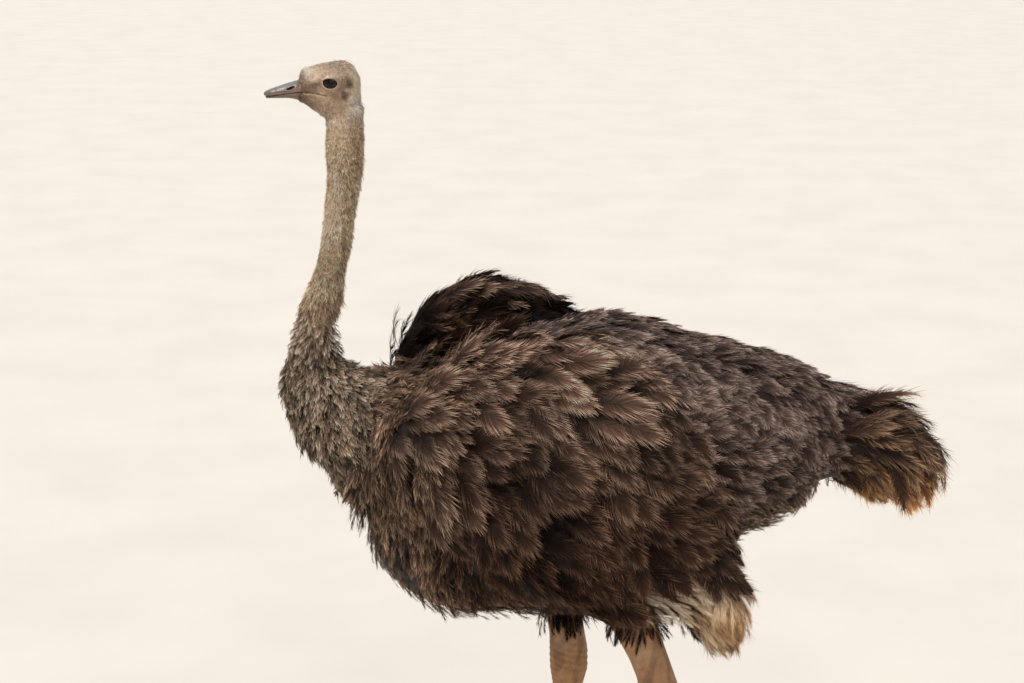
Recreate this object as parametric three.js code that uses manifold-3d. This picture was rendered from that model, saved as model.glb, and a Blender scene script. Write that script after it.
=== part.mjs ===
// A life-size standing hen ostrich, as a still museum model.
// Millimetres, +Z up. The bird faces -Y and its left side is +X.
// Each feathered piece is the outer form of its plumage. Bare pieces are the skin itself.
import * as THREE from "three";
import { mergeVertices } from "three/addons/utils/BufferGeometryUtils.js";
import Module from "manifold-3d";

const wasm = await Module();
wasm.setup();

// ---------------------------------------------------------------- driving dimensions
const GAP = 0.4; // clearance between touching pieces
const REACH = 4000; // half side of the blocks that part the body

const TRUNK = { front: -345, back: 698, segments: 26, rings: 20 };
const NECK = { segments: 14, rings: 24, flatness: 0.94 };
const NECK_CUTS = { head: 1704, middle: 1500, base: 1330 };
const RUFF = { front: -493, back: -215, segments: 18, rings: 11 };
const HEAD = { back: -309, front: -446, billJoint: -432, segments: 20, rings: 13 };
const BILL = { tip: -508, mouth: 1759, jawTip: -504, segments: 14, rings: 8 };
const EYE = { y: -369, z: 1787, depth: 29.5, radius: 17, segments: 12, rings: 8 };
const WING = { back: 512, segments: 18, rings: 17, plumeLine: 770 };
const TAIL = { front: 600, back: 924, segments: 18, rings: 10 };
const LEG = {
  stance: 124, // from the middle plane to each leg
  tarsus: 418,
  jointHeight: 66, // of the joint between tarsus and toes
  padTop: 48, // where the tarsus meets the pads of the toes
  ankleRise: 50, // of the ankle piece above its joint
  ankleDrop: 44,
  cuff: 22, // of feathers below the top of the bare skin
  thighRings: 7,
  segments: 12,
  rings: 20,
};
const LEFT_LEG = { side: 1, knee: [175, 905], ankle: [318, 482], skinTop: 668 };
const RIGHT_LEG = { side: -1, knee: [72, 900], ankle: [128, 482], skinTop: 612 };
const TOE = {
  main: { length: 152, half: 29, height: 58, turn: 3, out: -3 },
  outer: { length: 98, half: 19, height: 44, turn: 27, out: 19 },
  heel: 42,
  tipHeight: 20,
  sunk: 9, // below the floor, cut off flat as the sole
  rings: 9,
  segments: 12,
};
const CLAW = { tip: 28, root: 12, bend: 9, half: 13.5, height: 17, clear: 1.5, rings: 5, segments: 10 };

// ---------------------------------------------------------------- materials
const finish = (color, roughness) => new THREE.MeshStandardMaterial({ color, roughness, metalness: 0 });
const PLUMAGE = finish(0x54473b, 0.9);
const PALE_PLUME = finish(0xb5a48a, 0.9);
const DOWN = finish(0x8d7f6c, 0.85);
const SKIN = finish(0x9a8c7b, 0.6);
const HORN = finish(0x8c8475, 0.45);
const EYEBALL = finish(0x1c120c, 0.08);
const NAIL = finish(0x4a3f36, 0.4);

// ---------------------------------------------------------------- small mathematics
// A smooth function through a few [place, value] knots, without overshoot.
function through(...knots) {
  const slope = knots.slice(1).map((k, i) => (k[1] - knots[i][1]) / (k[0] - knots[i][0]));
  const tangent = knots.map((_, i) => {
    if (i === 0) return slope[0];
    if (i === slope.length) return slope[i - 1];
    return slope[i - 1] * slope[i] <= 0 ? 0 : (2 * slope[i - 1] * slope[i]) / (slope[i - 1] + slope[i]);
  });
  return (place) => {
    const x = THREE.MathUtils.clamp(place, knots[0][0], knots.at(-1)[0]);
    let i = 0;
    while (i < slope.length - 1 && x > knots[i + 1][0]) i++;
    const h = knots[i + 1][0] - knots[i][0];
    const t = (x - knots[i][0]) / h;
    const [a, b] = [knots[i][1], knots[i + 1][1]];
    return (
      a * (1 + 2 * t) * (1 - t) ** 2 +
      tangent[i] * h * t * (1 - t) ** 2 +
      b * t * t * (3 - 2 * t) +
      tangent[i + 1] * h * t * t * (t - 1)
    );
  };
}

// Places from a to b, closer together at both ends.
const eased = (a, b, count) =>
  Array.from({ length: count }, (_, i) => a + ((b - a) * (1 - Math.cos((Math.PI * i) / (count - 1)))) / 2);

const signedPower = (value, power) => Math.sign(value) * Math.abs(value) ** power;

// ---------------------------------------------------------------- shapes
// A closed surface through rings of points, its ends capped.
function skinOver(rings) {
  const size = rings[0].length;
  const middle = (ring) => ring.reduce((sum, p) => sum.add(p), new THREE.Vector3()).divideScalar(size);
  const points = [...rings.flat(), middle(rings[0]), middle(rings.at(-1))];
  const first = rings.length * size;
  const faces = [];
  for (let i = 0; i < size; i++) {
    const j = (i + 1) % size;
    for (let r = 0; r < rings.length - 1; r++) {
      const [a, b] = [r * size, (r + 1) * size];
      faces.push(a + i, a + j, b + j, a + i, b + j, b + i);
    }
    const last = (rings.length - 1) * size;
    faces.push(first, j, i, first + 1, last + i, last + j);
  }
  return new THREE.BufferGeometry().setFromPoints(points).setIndex(faces);
}

// A form along Y: a rounded section with its own top, bottom and half width at each place.
function lengthwise({ from, to, rings, segments, top, bottom, half, middle = () => 0, lean = () => 0,
                      power = 2.2, grow = 0 }) {
  return skinOver(
    eased(from, to, rings).map((place, k) => {
      const y = place + grow * (k === 0 ? -1 : k === rings - 1 ? 1 : 0);
      const [centre, height] = [(top(place) + bottom(place)) / 2, (top(place) - bottom(place)) / 2 + grow];
      return Array.from({ length: segments }, (_, i) => {
        const angle = (2 * Math.PI * i) / segments;
        const rise = height * signedPower(Math.sin(angle), 2 / power);
        const out = (half(place) + grow) * signedPower(Math.cos(angle), 2 / power);
        return new THREE.Vector3(middle(place) + lean(place) * rise + out, y, centre + rise);
      });
    }),
  );
}

// A limb: rings square to a path, each with a half width across (X) and a half depth.
function limb({ path, rings, segments, across, deep, grow = 0, power = 2 }) {
  const sideways = new THREE.Vector3(1, 0, 0);
  return skinOver(
    Array.from({ length: rings }, (_, k) => {
      const t = k / (rings - 1);
      const centre = path.getPoint(t);
      const ahead = path.getTangent(t);
      const front = new THREE.Vector3().crossVectors(sideways, ahead).normalize();
      const lateral = new THREE.Vector3().crossVectors(ahead, front).normalize();
      centre.addScaledVector(ahead, grow * (k === 0 ? -1 : k === rings - 1 ? 1 : 0));
      return Array.from({ length: segments }, (_, i) => {
        const angle = (2 * Math.PI * i) / segments;
        return centre
          .clone()
          .addScaledVector(lateral, (across(t) + grow) * signedPower(Math.cos(angle), 2 / power))
          .addScaledVector(front, (deep(t) + grow) * signedPower(Math.sin(angle), 2 / power));
      });
    }),
  );
}

// ---------------------------------------------------------------- solids
function solid(geometry) {
  const shell = mergeVertices(geometry.index ? geometry : mergeVertices(geometry), 1e-4);
  const made = new wasm.Manifold(
    new wasm.Mesh({
      numProp: 3,
      vertProperties: shell.attributes.position.array,
      triVerts: new Uint32Array(shell.index.array),
    }),
  );
  return made.volume() > 0 ? made : solid(turnedOut(shell));
}

// The same surface with its faces the other way round.
function turnedOut(geometry) {
  const faces = Array.from(geometry.index.array);
  for (let i = 0; i < faces.length; i += 3) [faces[i], faces[i + 1]] = [faces[i + 1], faces[i]];
  return geometry.clone().setIndex(faces);
}

// A large block on the low side of a level along one axis (0 X, 1 Y, 2 Z).
function blockBelow(axis, level) {
  const block = new THREE.BoxGeometry(2 * REACH, 2 * REACH, 2 * REACH);
  block.deleteAttribute("normal");
  block.deleteAttribute("uv");
  const shift = [0, 0, 0];
  shift[axis] = level - REACH;
  return solid(block.translate(...shift));
}

const keepBelow = (body, axis, level) => body.intersect(blockBelow(axis, level));
const keepAbove = (body, axis, level) => body.subtract(blockBelow(axis, level));
const largest = (body) => body.decompose().sort((a, b) => b.volume() - a.volume())[0];

// ---------------------------------------------------------------- trunk
const trunkForm = (grow) =>
  solid(
    lengthwise({
      from: TRUNK.front, to: TRUNK.back, rings: TRUNK.rings, segments: TRUNK.segments, grow, power: 2.25,
      top: through([-345, 1050], [-300, 1165], [-200, 1212], [-60, 1262], [90, 1305], [215, 1322], [311, 1304],
        [395, 1277], [480, 1256], [565, 1230], [650, 1192], [698, 1130]),
      bottom: through([-345, 935], [-334, 830], [-303, 742], [-243, 678], [-178, 642], [-120, 626], [-30, 636],
        [110, 632], [240, 655], [360, 720], [480, 806], [565, 846], [650, 905], [698, 985]),
      half: through([-345, 70], [-300, 150], [-200, 202], [0, 236], [200, 246], [400, 232], [560, 200],
        [650, 155], [698, 70]),
    }),
  );
const trunk = trunkForm(0);
const trunkCutter = trunkForm(GAP);

// ---------------------------------------------------------------- neck
// The bushy base reaches forward from the breast, and the neck rises from it in a shallow S.
const neckPath = new THREE.CatmullRomCurve3(
  [[-428, 1115], [-421, 1197], [-419, 1243], [-409, 1294], [-396, 1335], [-384, 1376], [-368, 1445],
   [-355, 1538], [-347, 1598], [-345, 1657], [-341, 1738]].map(([y, z]) => new THREE.Vector3(0, y, z)),
);
const neckDepth = through([0, 60], [0.1, 66], [0.2, 57], [0.3, 42], [0.4, 33], [0.5, 30], [0.6, 31], [0.7, 32.5],
  [0.8, 35.5], [0.9, 39], [1, 38]);
const neckStem = solid(
  limb({ path: neckPath, rings: NECK.rings, segments: NECK.segments, deep: neckDepth,
         across: (t) => neckDepth(t) * NECK.flatness }),
);
const neckRuff = solid(
  lengthwise({
    from: RUFF.front, to: RUFF.back, rings: RUFF.rings, segments: RUFF.segments, power: 2.1,
    top: through([-493, 1175], [-470, 1215], [-420, 1225], [-360, 1198], [-300, 1188], [-215, 1196]),
    bottom: through([-493, 1105], [-478, 1058], [-431, 995], [-389, 950], [-330, 905], [-215, 880]),
    half: through([-493, 22], [-470, 56], [-420, 86], [-350, 120], [-280, 152], [-215, 162]),
  }),
);

// ---------------------------------------------------------------- head and bill
const skull = solid(
  lengthwise({
    from: HEAD.back, to: HEAD.front, rings: HEAD.rings, segments: HEAD.segments, power: 2.15,
    top: through([-446, 1794], [-438, 1803], [-428, 1811], [-410, 1820], [-385, 1826], [-360, 1829], [-335, 1826],
      [-318, 1814], [-309, 1794]),
    bottom: through([-446, 1753], [-430, 1746], [-405, 1728], [-380, 1710], [-350, 1704], [-325, 1712],
      [-309, 1740]),
    half: through([-446, 24], [-425, 28], [-400, 34], [-371, 39], [-345, 37], [-322, 28], [-309, 10]),
  }),
);
const headAndNeck = skull.add(neckStem).add(neckRuff);
const head = keepAbove(keepAbove(headAndNeck, 2, NECK_CUTS.head), 1, HEAD.billJoint);

const billHalf = through([-508, 5], [-502, 12.5], [-490, 17], [-470, 20.5], [-432, 26]);
const ridge = through([-508, 1765], [-502, 1770], [-485, 1776], [-465, 1783], [-432, 1793]);
const jawline = through([-504, 1752.5], [-480, 1753], [-455, 1753.5], [-432, 1747]);
const billForm = (front, top, bottom, half) =>
  solid(
    lengthwise({ from: front, to: HEAD.billJoint - GAP, rings: BILL.rings, segments: BILL.segments, power: 2.3,
                 top, bottom, half }),
  );
const billUpper = keepAbove(
  billForm(BILL.tip, ridge, (y) => 2 * BILL.mouth - ridge(y), billHalf), 2, BILL.mouth);
const billLower = keepBelow(
  billForm(BILL.jawTip, (y) => 2 * BILL.mouth - jawline(y), jawline, (y) => billHalf(y) - 1.2), 2,
  BILL.mouth - GAP);

function eyeball(side, grow) {
  const ball = new THREE.SphereGeometry(EYE.radius + grow, EYE.segments, EYE.rings);
  ball.deleteAttribute("normal");
  ball.deleteAttribute("uv");
  return solid(ball.translate(side * EYE.depth, EYE.y, EYE.z));
}

// ---------------------------------------------------------------- wings
// The left wing rests on the flank. The right one is lifted, and arches over the back.
// The plumes of both droop behind the legs.
const wingBottom = through([-288, 1085], [-250, 985], [-180, 915], [-80, 850], [40, 782], [110, 728], [160, 704],
  [220, 690], [300, 680], [350, 668], [390, 628], [430, 604], [475, 604], [498, 640], [512, 690]);
const LEFT_WING = {
  side: 1, front: -262, lean: 0.1, inset: 0,
  top: through([-262, 1100], [-216, 1165], [-165, 1210], [-104, 1268], [-44, 1306], [16, 1320], [86, 1316],
    [160, 1298], [240, 1250], [320, 1165], [390, 1040], [447, 900], [500, 790], [512, 740]),
};
const RIGHT_WING = {
  side: -1, front: -288, lean: 0.2, inset: 10,
  top: through([-288, 1140], [-260, 1218], [-209, 1290], [-136, 1332], [-70, 1348], [0, 1342], [60, 1326],
    [110, 1290], [180, 1262], [260, 1215], [330, 1140], [390, 1040], [447, 900], [500, 790], [512, 740]),
};
const wingForm = ({ side, front, lean, inset, top }, grow) =>
  solid(
    lengthwise({
      from: front, to: WING.back, rings: WING.rings, segments: WING.segments, power: 2.3, grow,
      top, bottom: wingBottom,
      half: through([-288, 12], [-250, 34], [-180, 52], [-60, 66], [100, 74], [280, 68], [420, 48], [490, 30],
        [512, 12]),
      middle: (y) =>
        side * (through([-288, 165], [-180, 190], [0, 212], [200, 222], [380, 214], [512, 190])(y) - inset),
      lean: (y) => -side * lean * through([-288, 1], [0, 1], [250, 0.2], [512, 0])(y),
    }),
  );

// ---------------------------------------------------------------- tail
const tailForm = solid(
  lengthwise({
    from: TAIL.front, to: TAIL.back, rings: TAIL.rings, segments: TAIL.segments, power: 2.1,
    top: through([600, 1175], [680, 1182], [740, 1174], [790, 1156], [840, 1120], [882, 1074], [910, 1018],
      [924, 955]),
    bottom: through([600, 960], [660, 915], [700, 898], [740, 884], [800, 876], [860, 878], [905, 888],
      [924, 903]),
    half: through([600, 120], [680, 128], [780, 138], [860, 122], [905, 84], [924, 40]),
  }),
);

// ---------------------------------------------------------------- legs
function legOf({ side, knee, ankle, skinTop }) {
  const drop = ankle[1] - LEG.jointHeight;
  const foot = [ankle[0] - Math.sqrt(LEG.tarsus ** 2 - drop ** 2), LEG.jointHeight];
  const x = side * LEG.stance;
  const between = (a, b, t) => new THREE.Vector3(x, a[0] + (b[0] - a[0]) * t, a[1] + (b[1] - a[1]) * t);
  const path = new THREE.CatmullRomCurve3([
    between(knee, ankle, 0),
    between(knee, ankle, 0.5),
    between(knee, ankle, 1),
    between(ankle, foot, 0.5),
    between(ankle, foot, 1.03),
  ]);
  const bare = solid(
    limb({
      path, rings: LEG.rings, segments: LEG.segments,
      across: through([0, 76], [0.22, 50], [0.36, 36], [0.44, 34], [0.5, 39], [0.56, 33], [0.63, 24], [0.78, 20.5],
        [0.92, 25], [1, 31]),
      deep: through([0, 104], [0.22, 64], [0.36, 42], [0.44, 41], [0.5, 47], [0.56, 38], [0.63, 28], [0.78, 22.5],
        [0.92, 27], [1, 33]),
    }),
  );
  const cuff = (knee[1] - skinTop + LEG.cuff) / (knee[1] - ankle[1]);
  const thigh = solid(
    limb({
      path: new THREE.LineCurve3(between(knee, ankle, 0), between(knee, ankle, cuff)),
      rings: LEG.thighRings, segments: LEG.segments,
      across: through([0, 92], [0.6, 74], [1, 56]), deep: through([0, 125], [0.55, 100], [1, 66]),
    }),
  );
  return { x, side, foot, ankle, skinTop, thigh, bare };
}

// A toe lies flat on the floor. Its pads swell under each joint, and it turns out from straight ahead.
function toeOf(leg, { length, half, height, turn, out }) {
  const swell = (y, joints) => 1 + 0.07 * Math.cos((2 * Math.PI * joints * -y) / length);
  const form = lengthwise({
    from: -length, to: TOE.heel, rings: TOE.rings, segments: TOE.segments, power: 2.4,
    top: through([-length, TOE.tipHeight], [-0.8 * length, 1.35 * TOE.tipHeight], [-0.4 * length, 0.62 * height], [0, height],
      [TOE.heel, 0.5 * height]),
    bottom: () => -TOE.sunk,
    half: (y) => swell(y, 2) * through([-length, 0.45 * half], [-0.9 * length, 0.78 * half],
      [-0.35 * length, half], [0, half], [TOE.heel, 0.55 * half])(y),
  });
  form.rotateZ(leg.side * THREE.MathUtils.degToRad(turn));
  form.translate(leg.x + leg.side * out, leg.foot[0], 0);
  return keepAbove(solid(form), 2, 0);
}

function clawOf(leg, { length, turn, out }) {
  const [tip, bend, root] = [-length - CLAW.tip, -length - CLAW.bend, -length + CLAW.root];
  const form = lengthwise({
    from: tip, to: root, rings: CLAW.rings, segments: CLAW.segments, power: 2,
    top: through([tip, 5], [bend, CLAW.height], [root, CLAW.height + 3]),
    bottom: () => CLAW.clear,
    half: through([tip, 2], [bend, CLAW.half - 2], [root, CLAW.half]),
  });
  form.rotateZ(leg.side * THREE.MathUtils.degToRad(turn));
  form.translate(leg.x + leg.side * out, leg.foot[0], 0);
  return solid(form);
}

// ---------------------------------------------------------------- assembly
const bird = new THREE.Group();

function add(name, body, material) {
  const { vertProperties, triVerts, numProp } = largest(body).getMesh();
  const places = new Float32Array((vertProperties.length / numProp) * 3);
  for (let i = 0; i < places.length / 3; i++)
    places.set(vertProperties.subarray(i * numProp, i * numProp + 3), i * 3);
  const shell = new THREE.BufferGeometry()
    .setAttribute("position", new THREE.BufferAttribute(places, 3))
    .setIndex(new THREE.BufferAttribute(triVerts, 1));
  const mesh = new THREE.Mesh(shell, material);
  mesh.name = name;
  bird.add(mesh);
}

add("trunk", trunk, PLUMAGE);
add("tail", tailForm.subtract(trunkCutter), PLUMAGE);

const sockets = eyeball(1, GAP).add(eyeball(-1, GAP));
add("head", head.subtract(sockets), DOWN);
add("bill_upper", billUpper, HORN);
add("bill_lower", billLower, HORN);
add("eye_left", eyeball(1, 0), EYEBALL);
add("eye_right", eyeball(-1, 0), EYEBALL);
const below = (body, level) => keepBelow(body, 2, level - GAP);
const above = (body, level) => keepAbove(body, 2, level);
add("neck_upper", above(below(headAndNeck, NECK_CUTS.head), NECK_CUTS.middle), DOWN);
add("neck_middle", above(below(headAndNeck, NECK_CUTS.middle), NECK_CUTS.base), DOWN);

const bodyCutters = trunkCutter.add(wingForm(LEFT_WING, GAP)).add(wingForm(RIGHT_WING, GAP));
add("neck_base", below(headAndNeck, NECK_CUTS.base).subtract(bodyCutters), DOWN);

for (const [name, wingShape, legShape] of [["left", LEFT_WING, LEFT_LEG], ["right", RIGHT_WING, RIGHT_LEG]]) {
  const wing = wingForm(wingShape, 0).subtract(trunkCutter);
  add("wing_" + name, above(wing, WING.plumeLine), PLUMAGE);
  add("plumes_" + name, below(wing, WING.plumeLine), PALE_PLUME);

  const leg = legOf(legShape);
  const [ankleTop, ankleLow] = [leg.ankle[1] + LEG.ankleRise, leg.ankle[1] - LEG.ankleDrop];
  const [mainToe, outerToe, claw] = [toeOf(leg, TOE.main), toeOf(leg, TOE.outer), clawOf(leg, TOE.main)];
  add("thigh_" + name, above(leg.thigh, leg.skinTop).subtract(bodyCutters), PLUMAGE);
  add("shank_" + name, above(below(leg.bare, leg.skinTop), ankleTop).subtract(bodyCutters), SKIN);
  add("ankle_" + name, above(below(leg.bare, ankleTop), ankleLow), SKIN);
  add("tarsus_" + name, above(below(leg.bare, ankleLow), LEG.padTop), SKIN);
  const foot = below(leg.bare.add(mainToe), LEG.padTop);
  add("toe_main_" + name, above(foot, 0).subtract(claw), SKIN);
  add("claw_" + name, claw, NAIL);
  add("toe_outer_" + name, below(outerToe, LEG.padTop).subtract(foot), SKIN);
}

// The origin is on the floor, under the middle of the whole.
const extent = new THREE.Box3().setFromObject(bird);
bird.position.set(-(extent.min.x + extent.max.x) / 2, -(extent.min.y + extent.max.y) / 2, -extent.min.z);

export default bird;
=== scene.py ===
"""A standing hen ostrich: one skin, a horn bill and claws, wet eyes, and feathers of solid mesh.

Sizes are in metres. The bird faces -Y, its left side is +X, and it stands on Z = 0.
"""

import logging
import math
from collections.abc import Callable, Iterable, Sequence
from dataclasses import dataclass, field, replace
from enum import StrEnum

import bpy
import numpy as np
import openvdb
from mathutils import Euler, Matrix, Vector
from mathutils.bvhtree import BVHTree

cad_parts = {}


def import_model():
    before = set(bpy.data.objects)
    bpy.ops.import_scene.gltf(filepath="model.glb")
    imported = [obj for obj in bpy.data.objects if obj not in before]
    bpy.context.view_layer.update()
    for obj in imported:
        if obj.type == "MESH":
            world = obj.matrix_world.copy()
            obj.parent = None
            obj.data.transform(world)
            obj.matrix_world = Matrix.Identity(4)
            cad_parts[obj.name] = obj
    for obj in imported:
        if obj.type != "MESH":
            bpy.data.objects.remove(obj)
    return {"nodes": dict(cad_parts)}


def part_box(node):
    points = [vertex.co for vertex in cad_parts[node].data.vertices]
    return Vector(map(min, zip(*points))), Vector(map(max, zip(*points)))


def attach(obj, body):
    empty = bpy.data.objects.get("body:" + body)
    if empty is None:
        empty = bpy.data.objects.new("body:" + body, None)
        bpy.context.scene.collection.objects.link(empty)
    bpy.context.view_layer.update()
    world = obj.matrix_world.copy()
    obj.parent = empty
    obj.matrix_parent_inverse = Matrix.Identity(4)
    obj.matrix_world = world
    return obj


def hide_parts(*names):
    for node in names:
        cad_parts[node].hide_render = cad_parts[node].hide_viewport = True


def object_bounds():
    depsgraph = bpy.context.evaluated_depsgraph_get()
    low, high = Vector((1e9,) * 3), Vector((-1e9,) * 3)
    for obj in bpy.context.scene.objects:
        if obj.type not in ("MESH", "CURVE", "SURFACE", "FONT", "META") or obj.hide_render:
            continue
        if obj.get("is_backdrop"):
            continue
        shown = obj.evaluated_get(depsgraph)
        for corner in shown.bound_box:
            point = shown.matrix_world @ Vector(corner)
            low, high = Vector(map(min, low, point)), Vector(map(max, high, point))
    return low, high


Array = np.ndarray
Nodes = dict[str, bpy.types.Object]
Socket = bpy.types.NodeSocket
Piece = bpy.types.Object

LOG = logging.getLogger("ostrich")
BODY = "root"
TINT = "Tint"
BAKE_MAP = "OFBake"
TUFT_PATCH = 0.003
MAX_PIECE_TRIANGLES = 199_000
UP = np.array([0.0, 0.0, 1.0])


class Side(StrEnum):
    """A side of the bird."""

    LEFT = "left"
    RIGHT = "right"

    @property
    def sign(self) -> float:
        """1 on the left and -1 on the right, as X has it."""
        return 1.0 if self is Side.LEFT else -1.0


# ---------------------------------------------------------------- small mathematics
def srgb(red: int, green: int, blue: int) -> Array:
    """Linear colour of an 8-bit display colour."""
    value = np.array([red, green, blue]) / 255.0
    return np.where(value <= 0.04045, value / 12.92, ((value + 0.055) / 1.055) ** 2.4)


def dye(red: int, green: int, blue: int) -> Array:
    """A dataclass field that starts as an 8-bit display colour."""
    return field(default_factory=lambda: srgb(red, green, blue))


def unit(vectors: Array) -> Array:
    """The vectors at a length of one."""
    return vectors / np.maximum(np.linalg.norm(vectors, axis=-1, keepdims=True), 1e-9)


def step(value: Array | float, start: float, end: float) -> Array:
    """A smooth rise from 0 at start to 1 at end; it falls where end is the smaller."""
    share = np.clip((np.asarray(value) - start) / (end - start), 0.0, 1.0)
    return share * share * (3.0 - 2.0 * share)


def bell(value: Array, centre: float, width: float) -> Array:
    """A smooth hump of height 1 at centre that has fallen to 0.37 at width from it."""
    return np.exp(-(((value - centre) / width) ** 2))


@dataclass(frozen=True)
class Spot:
    """A soft place on the side of the bird: its middle, its half sizes and its strength."""

    y: float
    z: float
    half_y: float
    half_z: float
    strength: float = 1.0

    def over(self, y: Array, z: Array) -> Array:
        """The spot's strength at each place."""
        back, up = (y - self.y) / self.half_y, (z - self.z) / self.half_z
        return self.strength * np.exp(-(back**2 + up**2))


def mix(low: Array, high: Array, share: Array) -> Array:
    """Each row blended from low to high by its share."""
    return low + (high - low) * np.asarray(share)[..., None]


def soft_union(first: Array, second: Array, blend: float) -> Array:
    """The union of two distance fields with a fillet of about blend."""
    share = np.clip(0.5 + 0.5 * (second - first) / blend, 0.0, 1.0)
    return second * (1.0 - share) + first * share - blend * share * (1.0 - share)


def ripple(points: Array, wave: float, rng: np.random.Generator) -> Array:
    """Smooth wandering values of about -1 to 1.

    Args:
        points: Places, one to a row.
        wave: Length over which the value swings once.
        rng: Source of the directions and phases.

    Returns:
        One value for each place.
    """
    total = np.zeros(len(points))
    for _ in range(4):
        direction = unit(rng.normal(size=3)) * (2 * math.pi / wave) * rng.uniform(0.6, 1.5)
        total += np.sin(points @ direction + rng.uniform(0, 2 * math.pi))
    return total / 2.0


def turned(vectors: Array, axes: Array, angles: Array) -> Array:
    """The vectors turned about their axes, which stand square to them, by angles in radians."""
    return vectors * np.cos(angles)[:, None] + np.cross(axes, vectors) * np.sin(angles)[:, None]


# ---------------------------------------------------------------- mesh helpers
def new_object(name: str, points: Array, faces: Array) -> Piece:
    """A mesh object whose faces all have the same number of corners.

    Args:
        name: Name of the new object.
        points: Places, one to a row.
        faces: Point numbers, a face to a row.

    Returns:
        The object, linked to the scene.
    """
    corners = faces.shape[1]
    mesh = bpy.data.meshes.new(name)
    mesh.vertices.add(len(points))
    mesh.vertices.foreach_set("co", np.ascontiguousarray(points, np.float32).ravel())
    mesh.loops.add(faces.size)
    mesh.loops.foreach_set("vertex_index", np.ascontiguousarray(faces, np.int32).ravel())
    mesh.polygons.add(len(faces))
    mesh.polygons.foreach_set("loop_start", np.arange(0, faces.size, corners, dtype=np.int32))
    mesh.update(calc_edges=True)
    piece = bpy.data.objects.new(name, mesh)
    bpy.context.scene.collection.objects.link(piece)
    return piece


def read_rows(items: bpy.types.bpy_prop_collection, what: str) -> Array:
    """One property of three numbers from every item.

    Args:
        items: The mesh's vertices, or their normals.
        what: The property's name.

    Returns:
        The numbers, one item to a row.
    """
    found = np.empty(len(items) * 3, np.float32)
    items.foreach_get(what, found)
    return found.reshape(-1, 3).astype(float)


def vertex_places(piece: Piece) -> Array:
    """Every vertex's place, one to a row."""
    return read_rows(piece.data.vertices, "co")


def vertex_normals(piece: Piece) -> Array:
    """Every vertex's normal, one to a row."""
    return read_rows(piece.data.vertex_normals, "vector")


def triangles_of(piece: Piece) -> Array:
    """The vertex numbers of every triangle, one triangle to a row.

    Args:
        piece: A mesh object.

    Returns:
        The vertex numbers.
    """
    mesh = piece.data
    mesh.calc_loop_triangles()
    corners = np.empty(len(mesh.loop_triangles) * 3, np.int32)
    mesh.loop_triangles.foreach_get("vertices", corners)
    return corners.reshape(-1, 3)


def paint(piece: Piece, colours: Array) -> None:
    """Stores one linear colour for each vertex under the tint's name.

    Args:
        piece: A mesh object.
        colours: Linear colours, one for each vertex.
    """
    rows = np.concatenate([np.clip(colours, 0.0, 1.0), np.ones((len(colours), 1))], axis=1)
    layer = piece.data.attributes.new(TINT, "FLOAT_COLOR", "POINT")
    layer.data.foreach_set("color", rows.astype(np.float32).ravel())


def settle(piece: Piece) -> Piece:
    """Applies the piece's modifiers to its mesh.

    Args:
        piece: A mesh object.

    Returns:
        The same piece.
    """
    graph = bpy.context.evaluated_depsgraph_get()
    mesh = bpy.data.meshes.new_from_object(piece.evaluated_get(graph))
    piece.modifiers.clear()
    piece.data = mesh
    return piece


def hand_over(piece: Piece, replaced: Sequence[str] = ()) -> None:
    """Rides a finished piece on the body and the nodes that it stands for.

    Args:
        piece: A mesh object.
        replaced: Nodes that the piece stands for.
    """
    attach(piece, BODY)
    if replaced:
        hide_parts(*replaced)
    LOG.info("%s: %d faces", piece.name, len(piece.data.polygons))


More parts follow.
